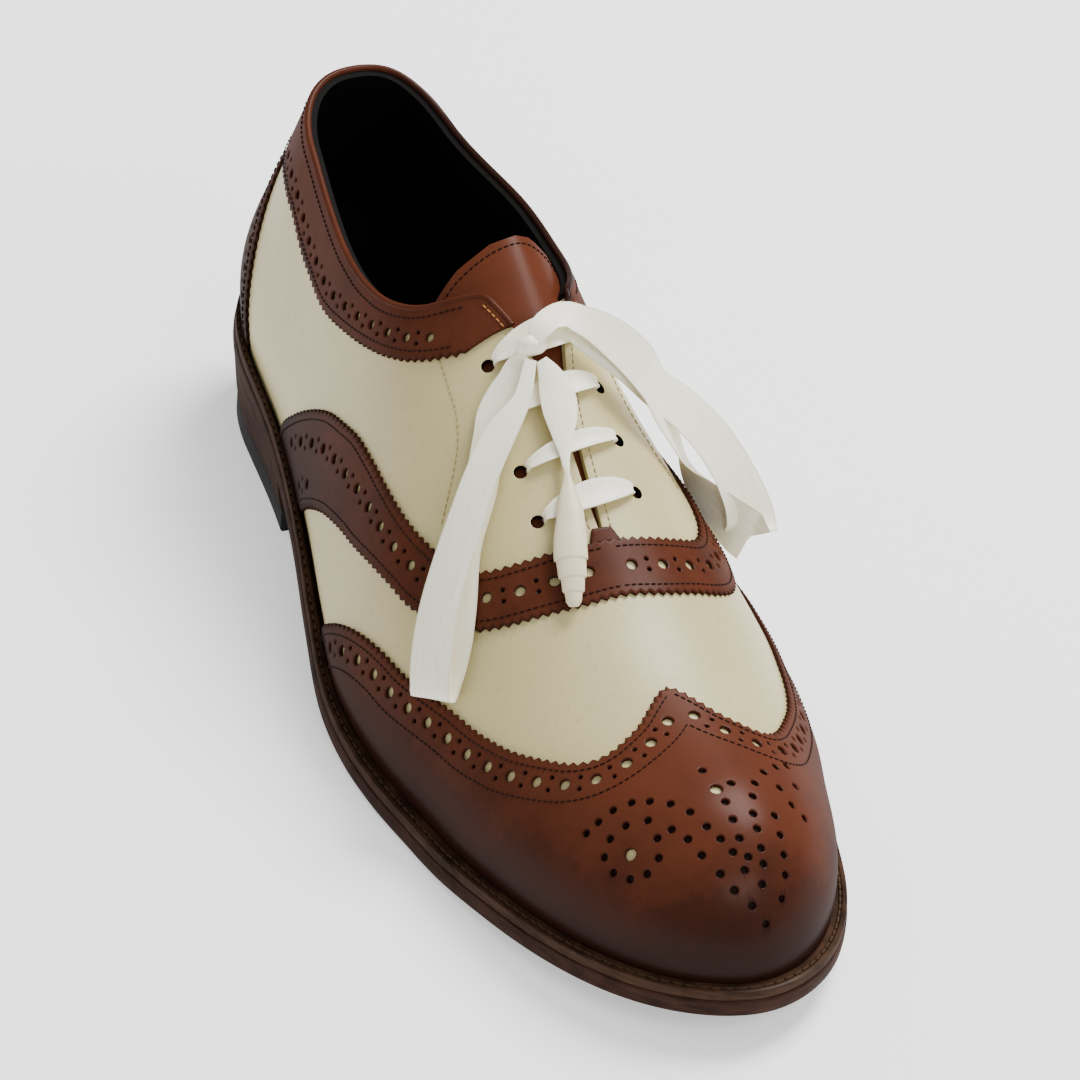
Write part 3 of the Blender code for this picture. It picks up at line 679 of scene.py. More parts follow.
def triangulate(loops, loose):
    """Triangles of a flat shape: the first loop is its outline, the others its holes."""
    points = np.concatenate([*loops, loose])
    owner = np.full(len(points), -1)
    edges = []
    start = 0
    for k, loop in enumerate(loops):
        owner[start:start + len(loop)] = k
        edges += [(start + i, start + (i + 1) % len(loop)) for i in range(len(loop))]
        start += len(loop)
    made = delaunay_2d_cdt([Vector(p) for p in points], edges, [], INSIDE_ONLY, SAME_PLACE)
    flat = np.array([tuple(v) for v in made[0]])
    owner = np.array([owner[i[0]] if i else -1 for i in made[3]])
    faces = np.array([f for f in made[2] if len(f) == 3])
    of = owner[faces]
    keep = ~((of[:, 0] > 0) & (of[:, 0] == of[:, 1]) & (of[:, 0] == of[:, 2]))
    on_rim = (of == 0).all(1)
    keep[on_rim] &= inside(flat[faces[on_rim]].mean(1), loops[0])
    return flat, faces[keep], owner


def welded(flat, faces, owner):
    """Joins the two sides of a shell opened at the back of the heel, so that its seam is closed."""
    at_back = flat[:, 0] < SEAM_REACH
    lateral = np.flatnonzero(at_back & (flat[:, 1] < RIDGE))
    join = np.arange(len(flat))
    for i in np.flatnonzero(at_back & (flat[:, 1] > RIDGE)):
        join[i] = lateral[np.argmin(np.abs(2 * RIDGE - flat[i, 1] - flat[lateral, 1]))]
    rows = np.sort(flat[lateral, 1])
    owner = np.where(at_back & (flat[:, 1] > rows[0]) & (flat[:, 1] < rows[-1]), -1, owner)
    used, order = np.unique(join[faces], return_inverse=True)
    return flat[used], order.reshape(-1, 3), owner[used]


def panel(name, node, chart, outline, finishes, holes=(), base=PANEL_GAP, thick=PANEL_THICK, step=2.1,
          bevel=0.32, shade=None, lined=None, back_seam=False):
    """Leather panel over the last, cut to a chart outline and punched with round holes."""
    holes = np.array(holes, float).reshape(-1, 3)
    hole_loops = list(punched(chart, holes[:, :2], holes[:, 2]))
    loose = punched(chart, holes[:, :2], holes[:, 2] + HOLE_RING).reshape(-1, 2)
    rims = np.concatenate([outline, *hole_loops])
    closed = np.vstack([outline, outline[:1]])
    rings = np.concatenate([beside(chart, closed, d)[:-1] for d in (EDGE_RING, -EDGE_RING)])
    rings = rings[inside(rings, outline)]
    rings = rings[nearest(rings, rims) > EDGE_CLEAR]
    low, high = outline.min(0), outline.max(0)
    grid = []
    for k, w in enumerate(np.arange(low[1] + step / 2, high[1], step * GRID_ROW)):
        u = np.arange(low[0] + (k % 2) * step / 2, high[0], step)
        grid.append(np.column_stack([u, np.full(len(u), w)]))
    grid = np.concatenate(grid)
    grid = grid[inside(grid, outline)]
    grid = grid[nearest(grid, np.concatenate([rims, rings, loose])) > step * GRID_CLEAR]
    loose = loose[inside(loose, outline)]
    loose = loose[nearest(loose, outline) > HOLE_CLEAR]
    flat, faces, owner = triangulate([outline, *hole_loops], np.concatenate([rings, grid, loose]))
    if back_seam:
        flat, faces, owner = welded(flat, faces, owner)
    out = normal(*chart(flat))
    if (np.cross(*slopes(chart, flat)) * out).sum(-1).mean() < 0:
        faces = faces[:, ::-1]
    on_edge = owner >= 0
    place = surface(*chart(flat))
    top = place + out * (base + thick - bevel * on_edge)[:, None]
    points = world(np.concatenate([top, place + out * base]))
    n = len(flat)
    pairs = dict.fromkeys((f[i], f[(i + 1) % 3]) for f in faces.tolist() for i in range(3))
    rim = [e for e in pairs if e[::-1] not in pairs]
    walls = [(b, a, a + n, b + n) for a, b in rim]
    a, b, c = (points[faces[:, k]] for k in range(3))
    bent = np.zeros((n, 3))
    np.add.at(bent, faces, np.cross(b - a, c - a)[:, None])
    smooth = unit(world(out) - world(0 * out))
    soft = np.where((nearest(flat, rims) < RIM_REACH)[:, None], unit(bent), smooth)
    quads = points[np.array(walls)]
    normals = np.concatenate([
        soft[faces].reshape(-1, 3),
        -smooth[faces[:, ::-1]].reshape(-1, 3),
        np.repeat(unit(np.cross(quads[:, 1] - quads[:, 0], quads[:, 3] - quads[:, 0])), 4, 0),
    ])
    inner = len(finishes) - 1
    kinds = [0] * len(faces) + [inner] * len(faces)
    kinds += [inner if lined and lined(flat[a], owner[a]) else 0 for a, b in rim]
    attributes = {"edge": np.tile(~on_edge, 2)}
    if shade:
        attributes["shade"] = np.tile(shade(flat), 2)
    all_faces = [*faces.tolist(), *(faces[:, ::-1] + n).tolist(), *walls]
    fit(mesh_piece(name, points, all_faces, finishes, attributes, kinds, normals), node)


def stitched(name, slot, node, lines, finish, pitch=1.75, length=1.3, radius=0.2, sink=0.25, sides=5):
    """Row of thread stitches along lines of (points, directions out), joined into one mesh."""
    profile = np.array(((-0.5, 0.35), (-0.28, 1.0), (0.28, 1.0), (0.5, 0.35)))
    turn = np.tile(round_turn(sides).ravel(), len(profile))
    along, wide = np.repeat(profile * (length, radius), sides, 0).T
    shape = np.stack([along, wide * np.cos(turn), wide * np.sin(turn)], -1)
    one = ring_faces(len(profile), sides)
    points = []
    faces = []
    for line, out in lines:
        run = lengths(line)
        at = np.arange(pitch / 2, run[-1], pitch)
        up = unit(between(at, run, out))
        way = between(at, run, np.gradient(line, run, axis=0))
        way = unit(way - up * (way * up).sum(-1, keepdims=True))
        centre = between(at, run, line) + up * radius * (1 - 2 * sink)
        for c, *ways in zip(centre, way, np.cross(up, way), up):
            start = len(shape) * len(points)
            points.append(c + shape @ np.array(ways))
            faces += [tuple(start + i for i in f) for f in one]
    fit(mesh_piece(name, world(np.concatenate(points)), faces, [finish]), node)


def on_panel(chart, p, lift=PANEL_TOP):
    return lay(chart, p, lift), normal(*chart(p))


class Wire:
    """A shader socket; arithmetic on wires adds Math nodes to their tree."""

    def __init__(self, tree, socket):
        self.tree = tree
        self.socket = socket

    def node(self, kind, settings, inputs, output=0):
        made = self.tree.nodes.new(kind)
        for key, value in settings.items():
            setattr(made, key, value)
        for key, value in inputs.items():
            if isinstance(value, Wire):
                self.tree.links.new(value.socket, made.inputs[key])
            else:
                made.inputs[key].default_value = value
        return Wire(self.tree, made.outputs[output])

    def maths(self, operation, first, second):
        return self.node("ShaderNodeMath", {"operation": operation}, {0: first, 1: second})

    def __add__(self, other):
        return self.maths("ADD", self, other)

    def __radd__(self, other):
        return self.maths("ADD", other, self)

    def __sub__(self, other):
        return self.maths("SUBTRACT", self, other)

    def __rsub__(self, other):
        return self.maths("SUBTRACT", other, self)

    def __mul__(self, other):
        return self.maths("MULTIPLY", self, other)

    def __rmul__(self, other):
        return self.maths("MULTIPLY", other, self)

    def ease(self, low, high, kind="SMOOTHSTEP"):
        """0 below low, 1 above high, smooth or straight between."""
        settings = {"interpolation_type": kind, "clamp": True}
        return self.node("ShaderNodeMapRange", settings, {"Value": self, "From Min": low, "From Max": high})

    def blend(self, first, second):
        """Colour that goes from the first to the second as this value goes from 0 to 1."""
        pair = [c if isinstance(c, Wire) else linear(*c) for c in (first, second)]
        return self.node("ShaderNodeMix", {"data_type": "RGBA"}, {0: self, 6: pair[0], 7: pair[1]}, 2)


class Finish:
    """A Principled material under a plain name."""

    def __init__(self, name, **constants):
        self.material = bpy.data.materials.new(name)
        self.material.use_nodes = True
        self.tree = self.material.node_tree
        self.shader = self.tree.nodes["Principled BSDF"]
        self.node = Wire(self.tree, None).node
        for key, value in constants.items():
            self.shader.inputs[key.replace("_", " ")].default_value = value

    def place(self):
        return self.node("ShaderNodeTexCoord", {}, {}, "Object")

    def noise(self, size, detail=3.0, rough=0.55, vector=None):
        inputs = {"Vector": vector or self.place(), "Scale": 1 / (size * MM)}
        return self.node("ShaderNodeTexNoise", {}, {**inputs, "Detail": detail, "Roughness": rough})

    def cells(self, size):
        inputs = {"Vector": self.place(), "Scale": 1 / (size * MM)}
        return self.node("ShaderNodeTexVoronoi", {"feature": "DISTANCE_TO_EDGE"}, inputs)

    def attribute(self, name):
        return self.node("ShaderNodeAttribute", {"attribute_name": name}, {}, "Fac")

    def feed(self, **links):
        for key, wire in links.items():
            self.tree.links.new(wire.socket, self.shader.inputs[key.replace("_", " ")])
        return self.material

    def bumped(self, height, depth, strength):
        inputs = {"Height": height, "Distance": depth * MM, "Strength": strength}
        return self.feed(Normal=self.node("ShaderNodeBump", {}, inputs))


def linear(red, green, blue):
    """Opaque colour from the usual 0 to 255 values."""
    values = [c / 255 for c in (red, green, blue)]
    return *(c / 12.92 if c <= 0.04045 else ((c + 0.055) / 1.055) ** 2.4 for c in values), 1.0


def brown_leather(name, light, mid, dark, turn=0.42):
    """Burnished calf: warm in the middle of a panel, nearly black where it is worked at the welt and toe."""
    calf = Finish(name, Coat_Roughness=0.3, Specular_IOR_Level=0.0)
    cloud = calf.noise(14, 4)
    mottle = calf.noise(2.6, 3)
    shade = (calf.attribute("shade") + (cloud - 0.5) * 0.34 + (mottle - 0.5) * 0.14).ease(0.0, 1.0)
    tone = shade.ease(0.0, turn, "LINEAR").blend(light, mid)
    tone = shade.ease(turn, 1.0, "LINEAR").blend(tone, dark)
    colour = (calf.attribute("edge") * 0.6 + 0.4).blend(dark, tone)
    crease = calf.noise(0.9, 4, 0.6)
    rough = 0.44 + (mottle - 0.5) * 0.16 + crease * 0.06
    calf.feed(Base_Color=colour, Roughness=rough, Coat_Weight=0.12 + shade * 0.05)
    return calf.bumped(crease * 0.7 + calf.cells(0.55).ease(0.0, 0.25) * 0.5, 0.05, 0.5)


def cream_leather():
    calf = Finish("cream_calf", Coat_Roughness=0.38, Specular_IOR_Level=0.3)
    cloud = calf.noise(22, 3)
    mottle = calf.noise(1.8, 3)
    colour = ((cloud - 0.5) * 0.8 + 0.5).ease(0.1, 0.9).blend((196, 184, 135), (187, 174, 124))
    colour = (mottle - 0.2).ease(0.35, 0.6).blend(colour, (181, 167, 118))
    calf.feed(Base_Color=colour, Roughness=0.4 + (mottle - 0.5) * 0.12, Coat_Weight=0.06 + cloud * 0.06)
    return calf.bumped(calf.noise(0.8, 4, 0.6) * 0.6 + calf.cells(0.6).ease(0.0, 0.3) * 0.5, 0.035, 0.45)


def black_lining():
    hide = Finish("black_lining", Specular_IOR_Level=0.05)
    mottle = hide.noise(3.0, 4)
    hide.feed(Base_Color=mottle.blend((11, 10, 10), (22, 20, 19)), Roughness=0.6 + mottle * 0.2)
    return hide.bumped(hide.noise(0.7, 4), 0.05, 0.5)


def waxed_sole(name, light, dark):
    """Leather edge, streaked along the sole."""
    edge = Finish(name, Coat_Roughness=0.35, Specular_IOR_Level=0.0)
    flat = edge.node("ShaderNodeMapping", {}, {"Vector": edge.place(), "Scale": (0.2, 0.2, 2.2)})
    streak = edge.noise(1.6, 5, 0.6, flat)
    cloud = edge.noise(9, 3)
    colour = (streak * 0.6 + cloud * 0.4).ease(0.3, 0.7).blend(dark, light)
    edge.feed(Base_Color=colour, Roughness=0.4 + streak * 0.2, Coat_Weight=0.1 + cloud * 0.06)
    return edge.bumped(streak, 0.06, 0.5)


def rubber():
    lift = Finish("black_rubber", Specular_IOR_Level=0.2)
    grit = lift.noise(0.9, 5)
    lift.feed(Base_Color=grit.blend((11, 10, 10), (26, 25, 24)), Roughness=0.55 + grit * 0.25)
    return lift.bumped(grit, 0.06, 0.6)


def thread(name, light, dark):
    yarn = Finish(name, Specular_IOR_Level=0.08)
    twist = yarn.noise(0.5, 2)
    return yarn.feed(Base_Color=twist.blend(dark, light), Roughness=0.55 + twist * 0.2)


def satin_ribbon():
    """Ivory satin: fine cross ribs, long soft streaks, firmer woven edges and a darker rolled tip."""
    satin = Finish("ivory_satin", Sheen_Weight=0.25, Sheen_Roughness=0.4, Anisotropic=0.4)
    along = satin.attribute("along")
    across = satin.attribute("across")
    lengthwise = satin.node("ShaderNodeCombineXYZ", {}, {"X": across * 9.0, "Y": along * 0.09, "Z": 0.0})
    streak = satin.node("ShaderNodeTexNoise", {}, {"Vector": lengthwise, "Scale": 1.0, "Detail": 3.0})
    weave = satin.node("ShaderNodeMath", {"operation": "SINE"}, {0: along * 14.0})
    selvedge = (across * across).ease(0.8, 0.97)
    colour = streak.ease(0.25, 0.75).blend((255, 252, 233), (246, 239, 212))
    colour = (selvedge * 0.5).blend(colour, (214, 206, 172))
    colour = satin.attribute("tip").blend(colour, (226, 212, 178))
    satin.feed(Base_Color=colour, Roughness=0.34 + streak * 0.14 + selvedge * 0.15)
    return satin.bumped(weave * 0.12 + streak * 0.5 + selvedge * 1.0, 0.06, 0.4)


CREAM = cream_leather()
BROWN = brown_leather("brown_calf", (88, 45, 29), (57, 28, 18), (36, 18, 13))
LINING = black_lining()
SATIN = satin_ribbon()
DARK_THREAD = thread("dark_thread", (36, 16, 10), (18, 8, 6))
CREAM_THREAD = thread("cream_thread", (176, 160, 112), (132, 116, 76))
TAN_THREAD = thread("tan_thread", (196, 138, 76), (150, 96, 48))
WELT_THREAD = thread("welt_thread", (84, 62, 44), (44, 30, 21))
# Near-black sheet under the brown panels: painted shade in their small holes
HOLE_SHADE_SHEET = thread("dark_backing", (30, 14, 9), (18, 8, 6))
SOLE_EDGE = waxed_sole("waxed_edge", (60, 37, 28), (31, 18, 13))
WELT_EDGE = waxed_sole("welt_leather", (68, 46, 33), (32, 21, 15))
RUBBER = rubber()


def hole_row(chart, line, pitch, large, small, spread, start, end_clear=1.5):
    """Large holes along a line with a pair of small ones between each two."""
    run = lengths(lay(chart, line))
    side = sideways(chart, line)
    holes = []
    for k in range(2 * int((run[-1] - pitch * start) / pitch) + 1):
        at = pitch * (start + k / 2)
        if at > run[-1] - end_clear:
            continue
        here = between(at, run, line)
        if k % 2 == 0:
            holes.append((*here, large))
            continue
        way = between(at, run, side) * spread
        holes += [(*nudge(chart, here[None], move[None])[0], small) for move in (-way, way)]
    return holes


def burnish(chart, base=0.27, toe=0.0, low=0.88, low_from=6.0, low_fade=13.0, toe_from=280.0, toe_fade=18.0):
    """How far a panel is darkened: all over, towards the welt, and at the toe."""
    def shade(p):
        place = surface(*chart(p))
        height = place[:, 2] - seat(place[:, 0])
        at_welt = np.exp(-np.maximum(height - low_from, 0) / low_fade)
        at_toe = np.clip((place[:, 0] - toe_from) / toe_fade, 0, 1)
        return np.clip(base + low * at_welt + toe * at_toe, 0, 1)
    return shade


def one_shade(value):
    return lambda p: np.full(len(p), value)


def dressed(node, chart, outline, holes, rows, shade):
    """Brown panel: punched leather, a dark sheet under it that is painted shade in its small holes and that
    only its large holes go through, and stitches.
    """
    open_holes = [(u, w, radius + 0.1) for u, w, radius in holes if radius > LARGE_HOLE]
    slot = "brown_leather"
    panel(node + "_leather", node, chart, outline, [BROWN], holes, shade=shade)
    # Painted shade: a dark sheet under the panel, seen through its small holes
    panel(node + "_backing", node, chart, outline, [HOLE_SHADE_SHEET], open_holes, HOLE_SHADE_GAP, HOLE_SHADE_THICK,
          step=3.4, bevel=0.0)
    stitched(node + "_stitches", slot, node, rows, DARK_THREAD)


def make_upper():
    """Cream shell, open at the collar and throat, with its eyelets punched."""
    stations = rim_stations(VAMP_A, 80, 50)
    lateral, medial = (rim_line(side, stations) for side in SIDES)
    lateral[-1, 1] = RIDGE
    u = np.linspace(0, REACH_U[-1] - TOE_CLEAR, 190)
    low = np.column_stack([u, np.full(len(u), FOOT_GIRTH)])
    w = np.linspace(FOOT_GIRTH, lateral[0, 1], SEAM_POINTS + 2)[1:-1]
    seam = np.column_stack([0 * w, w])
    outline = np.concatenate([
        low,
        on_side(MEDIAL, low)[::-1],
        on_side(MEDIAL, seam),
        even(over_ridge, on_side(MEDIAL, medial[:-1]), RIM_STEP),
        even(over_ridge, lateral, RIM_STEP)[::-1],
        seam[::-1],
    ])
    holes = []
    for lateral_s, medial_s, girth in EYELETS:
        holes.append((reach(lateral_s), girth, EYELET_RADIUS))
        holes.append((reach(medial_s), 2 * RIDGE - girth, EYELET_RADIUS))
    # The collar and eyelet walls take the black lining; in the eyelets the black wall is partly real lining
    # and partly painted shade
    panel("upper_leather", "upper", over_ridge, outline, [CREAM, LINING], holes, -WALL, WALL,
          step=2.3, bevel=0.25, lined=lambda p, loop: loop > 0 or p[0] < reach(CORNER_A), back_seam=True)


def make_facing_stitches():
    """Seam that holds each facing, and a row along the edge of the throat."""
    seam = drawn(over_ridge, *FACING_SEAM.T, FINE_STEP)
    stations = np.linspace(CORNER_A + 10, VAMP_A - 6, 60)
    rows = []
    for side in SIDES:
        edge = inset(over_ridge, rim_line(side, stations), -FACING_INSET)
        rows += [on_panel(over_ridge, on_side(side, line), 0.0) for line in (seam, edge)]
    stitched("facing_stitches", "cream_leather", "upper", rows, CREAM_THREAD, *FACING_STITCH)


def ridge_rows(half, distance):
    """Stitch rows beside a panel edge, on both sides, between the welt and the ridge."""
    line = above_welt(inset(over_ridge, half, distance))
    line = line[line[:, 1] < ROW_END]
    return [on_panel(over_ridge, on_side(side, line)) for side in SIDES]


def make_wing_cap(toe_end=86.0, hole_end=88.5, front_reach=0.35):
    """Toe cap with wings back along the welt, its hole rows and the medallion."""
    half = above_welt(drawn(over_ridge, *WING_EDGE.T))
    edge = ridge_join(half)
    middle = len(edge) // 2
    peak = np.array([[reach(WING_PEAK), RIDGE]])
    lateral = gimped(over_ridge, np.concatenate([edge[:middle], peak]))
    medial = gimped(over_ridge, np.concatenate([peak, edge[middle:]]))
    low = welt_line(np.linspace(half[0, 0], REACH_U[-1], 400))
    low = even(over_ridge, low[low[:, 1] < toe_end], 2.2)
    front = np.array([[low[-1, 0] + front_reach, RIDGE]])
    outline = np.concatenate([low[1:], front, on_side(MEDIAL, low[1:])[::-1], medial[:0:-1], lateral[::-1]])
    row = beside(over_ridge, half, -HOLE_INSET)
    row = row[row[:, 1] < hole_end][3:]
    holes = []
    for side in SIDES:
        holes += hole_row(over_ridge, on_side(side, row), *WING_HOLES)
    for radius, places in zip(MEDALLION_RADII, (MEDALLION_LARGE, MEDALLION_SMALL)):
        holes += [(reach(s), w, radius) for s, w in places]
    rows = ridge_rows(half, -STITCH_INSET) + ridge_rows(half, -INNER_INSET)
    dressed("wing_cap", over_ridge, outline, holes, rows, burnish(over_ridge, 0.08, 0.25))


def make_vamp_band(hole_end=88.0, foot_part=0.24, middle_part=0.52, foot_share=0.45):
    """Band over the vamp, with one hole row up its middle, a short one at its foot, and the slit's tab."""
    rear, front = (above_welt(drawn(over_ridge, *BAND.T[k:k + 2])) for k in (0, 2))
    base = even(over_ridge, welt_line(np.linspace(rear[0, 0], front[0, 0], 60)), 2.0)[1:-1]
    front_teeth, rear_teeth = (gimped(over_ridge, ridge_join(line)) for line in (front, rear))
    outline = np.concatenate([base, front_teeth, on_side(MEDIAL, base)[::-1], rear_teeth[::-1]])
    share = np.linspace(0, 1, 200)
    behind, ahead = (between(share, np.linspace(0, 1, len(line)), line) for line in (rear, front))
    part = middle_part + foot_part * np.clip(1 - share / foot_share, 0, 1)[:, None]
    middle = (behind * part + ahead * (1 - part))[10:]
    foot_row = (behind * foot_part + ahead * (1 - foot_part))[8:34]
    holes = []
    for side in SIDES:
        for line in (middle, foot_row):
            line = even(over_ridge, on_side(side, line[line[:, 1] < hole_end]), FINE_STEP)
            holes += hole_row(over_ridge, line, *BAND_HOLES)
    rows = ridge_rows(rear, -STITCH_INSET) + ridge_rows(front, STITCH_INSET)
    dressed("vamp_band", over_ridge, outline, holes, rows, burnish(over_ridge))
    tab = on_chart(*SLIT_TAB.T)
    sides = [even(over_ridge, np.array(pair), LINE_STEP)[:-1] for pair in zip(tab, np.roll(tab, -1, 0))]
    panel("vamp_band_tab", "vamp_band", over_ridge, np.concatenate(sides), [BROWN],
          thick=PANEL_THICK * 0.9, step=1.4, shade=one_shade(0.35))


def make_collar_band():
    """Band round the collar, its turned top edge with painted shade over the medial side, and the stitches
    at its front ends.
    """
    a = rim_stations(COLLAR_FRONT, 90, 12)
    low = on_chart(column(COLLAR, COLLAR_COLUMNS, "band_girth", a), a)
    hem = even(round_heel, round_back(low, low), LINE_STEP)
    brim = even(round_heel, round_back(*(rim_line(side, a) for side in SIDES)), RIM_STEP)
    outline = np.concatenate([gimped(round_heel, hem), brim[::-1]])
    holes = hole_row(round_heel, inset(round_heel, hem, -HOLE_INSET)[6:-6], *COLLAR_HOLES)
    edge = brim[np.abs(brim[:, 0]) < reach(CORNER_A) - 1]
    rows = [on_panel(round_heel, inset(round_heel, line, distance)[3:-3])
            for line, distance in ((hem, -STITCH_INSET), (edge, RIM_INSET))]
    dressed("collar_band", round_heel, outline, holes, rows, burnish(round_heel))
    stations = np.linspace(CORNER_A + 1.5, COLLAR_FRONT - 0.5, 12)
    ends = [on_panel(round_heel, inset(round_heel, rim_line(side, stations) * (side, 1), END_INSET * side))
            for side in SIDES]
    stitched("collar_band_end_stitches", "brown_leather", "collar_band", ends, TAN_THREAD, *END_STITCH)
    line = even(round_heel, brim, 1.5)
    centre, out = on_panel(round_heel, line, TURNED_LIFT)
    up = unit(np.cross(unit(np.gradient(centre, axis=0)), out))
    up = up * np.sign(up[:, 2:3])
    turn = round_turn(14)
    rings = centre[:, None] + (out[:, None] * np.cos(turn) + up[:, None] * np.sin(turn)) * TURNED_RADIUS
    # Painted shade: the turned edge grows darker round the medial side
    dark = np.interp(line[:, :1], (0, TURNED_FADE), TURNED_SHADES)
    attributes = {"shade": dark, "edge": 1.0}
    tube("collar_band_turned_edge", "collar_band", rings, BROWN, attributes)


def make_back_strip():
    right = above_welt(drawn(round_heel, *STRIP.T))
    left = right * (-1, 1)
    base = welt_line(np.linspace(left[0, 0], right[0, 0], 50))
    top = np.linspace(right[-1], left[-1], 14)
    teeth = [gimped(round_heel, line) for line in (right, left)]
    outline = np.concatenate([base[1:-1], teeth[0], top[1:-1], teeth[1][::-1]])
    holes = []
    rows = []
    for line, hand in ((right, -1), (left, 1)):
        holes += hole_row(round_heel, inset(round_heel, line, STRIP_HOLE_INSET * hand)[2:-2], *STRIP_HOLES)
        rows.append(on_panel(round_heel, inset(round_heel, line, STITCH_INSET * hand)))
    dressed("back_strip", round_heel, outline, holes, rows, burnish(round_heel))


def tongue_side(side):
    """Chart line down one side of the tongue, with a rounded top corner."""
    top, corner, corner_girth, lean = TONGUE_TOP[side]
    s = np.linspace(top, TONGUE[-1, 0], 60)
    fall = np.clip(1 - (s - top) / corner, 0, 1)
    lean = lean * np.clip((TONGUE_LEAN_END - s) / (TONGUE_LEAN_END - top), 0, 1)
    girth = column(TONGUE, TONGUE_COLUMNS, "girth", s) - TONGUE_TRIM - lean
    girth = girth + corner_girth * (1 - np.sqrt(np.maximum(1 - fall ** 2, 0)))
    return on_side(side, on_chart(girth, s))


def make_tongue():
    left, right = (tongue_side(side) for side in SIDES)
    outline = np.concatenate([even(over_ridge, left, 1.5), even(over_ridge, right, 1.5)[::-1]])
    top = -WALL - TONGUE_GAP
    panel("tongue_leather", "tongue", over_ridge, outline, [BROWN, LINING], (),
          top - TONGUE_THICK, TONGUE_THICK, step=2.0, bevel=0.5, shade=one_shade(0.12))
    brim = even(over_ridge, np.concatenate([left[:16][::-1], right[:16]]), FINE_STEP)
    row = on_panel(over_ridge, inset(over_ridge, brim, -RIM_INSET)[2:-2], top)
    stitched("tongue_stitches", "brown_leather", "tongue", [row], DARK_THREAD)


def sole_edge(s):
    return column(SOLE, SOLE_COLUMNS, "edge", s)


def sole_stations():
    middle = np.arange(TOE_S - 4, HEEL_S + 2, -4.0)
    return np.concatenate([nose_stations(46)[::-1], middle, np.linspace(HEEL_S, BACK_A, 30)])


def outline_ring(stations, grow):
    """Sole outline as (s, x), grown from the feather line: lateral side to the back, then medial."""
    left, right = (feather(side, stations)[:, :2] for side in SIDES)
    ring = np.concatenate([left, right[::-1][1:-1]])
    run = unit(np.roll(ring, -1, 0) - np.roll(ring, 1, 0))
    out = np.stack([run[:, 1], -run[:, 0]], -1)
    middle = np.stack([np.clip(ring[:, 0], HEEL_S, TOE_S), 0 * ring[:, 0]], -1)
    out *= np.sign(((ring - middle) * out).sum(1))[:, None]
    return ring + out * grow(ring[:, 0])[:, None]


def stack(name, node, finish, stations, profile, height, ahead=0):
    """Solid between outlines over each other; the stations ahead of its flat front are left out."""
    n = len(stations)
    order = [*range(n), *range(n - 1, 2 * n - 2), 0][ahead:2 * n - ahead]
    n -= ahead
    points = []
    for level, trim in profile:
        ring = outline_ring(stations, lambda s: sole_edge(s) - trim)[order]
        points.append(np.column_stack([ring, height(ring[:, 0], level)]))
    faces = []
    top = 2 * n * (len(profile) - 1)
    for low in range(0, top, 2 * n):
        high = low + 2 * n
        faces += [(low + i, low + i + 1, high + i + 1, high + i) for i in range(2 * n - 1) if i != n - 1]
        if ahead:
            faces.append((high - 1, low, high, high + 2 * n - 1))
    for start, way in ((0, 1), (top, -1)):
        last_one = start + 2 * n - 1
        faces += [(start + i, last_one - i, last_one - i - 1, start + i + 1)[::way] for i in range(n - 1)]
    solid(name, node, np.concatenate(points), faces, finish)


def heel_profile(lifts=3, groove=0.12, low=2.6, lean=2.1, curve=0.8):
    """Parts of the height and insets up the heel: leather lifts with a fine groove between them."""
    rows = []
    for k in range(lifts):
        for part, dip in ((0.0, groove), (0.06, 0.0), (0.94, 0.0), (1.0, groove)):
            height = (k + part) / lifts
            rows.append((height, low - lean * height ** curve + dip))
    return rows


def make_sole():
    """Outsole, stacked heel and rubber top lift."""
    stack("outsole_leather", "outsole", SOLE_EDGE, sole_stations(), SOLE_PROFILE,
          lambda s, part: under(s) + SOLE_THICK * part)
    breast = np.linspace(HEEL_BREAST, HEEL_S + 3, 12)
    stations = np.concatenate([HEEL_AHEAD, breast, np.linspace(HEEL_S, BACK_A, 30)])
    low = LIFT_THICK + GAP
    stack("heel_stack_leather", "heel_stack", SOLE_EDGE, stations, heel_profile(),
          lambda s, part: low + (under(s) - HEEL_GAP - low) * part, len(HEEL_AHEAD))
    stack("heel_top_lift_rubber", "heel_top_lift", RUBBER, stations, LIFT_PROFILE,
          lambda s, level: np.full(len(s), level), len(HEEL_AHEAD))


def make_welt(inner_gap=0.15, wall_gap=0.75, edge_trim=0.3, seat_part=0.3):
    """Welt with a rounded outer edge and a stitched groove on top."""
    stations = sole_stations()
    s, _, turn = foot(LATERAL, stations)
    axis = np.where(turn > 0, HEEL_S, s)
    middle = np.stack([axis, last("ridge", axis)], -1)
    wall = girth_at(stations, seat(s) + GAP + WELT_THICK)
    swell = 0 * s
    for side in SIDES:
        rims = (surface(side, stations, girth)[:, :2] for girth in (0 * wall, wall))
        low, high = (np.linalg.norm(rim - middle, axis=1) for rim in rims)
        swell = np.maximum(swell, high - low)
    order = np.argsort(s)
    rings = []
    for part, share in WELT_PROFILE:
        def grow(at):
            inner = inner_gap + part * (wall_gap + np.interp(at, s[order], swell[order]))
            return inner + (sole_edge(at) - edge_trim - inner) * share
        ring = outline_ring(stations, grow)
        rings.append(np.column_stack([ring, seat(ring[:, 0]) + GAP * seat_part + WELT_THICK * part]))
    rings = np.array(rings)
    faces = ring_faces(*rings.shape[:2], closed=True)
    solid("welt_leather", "welt", rings.reshape(-1, 3), faces, WELT_EDGE)
    groove = rings[list(WELT_GROOVE)].mean(0)
    groove = np.vstack([groove, groove[:1]])
    up = np.broadcast_to((0.0, 0.0, 1.0), groove.shape)
    stitched("welt_stitches", "sole_leather", "welt", [(groove, up)], WELT_THREAD, *WELT_STITCH)


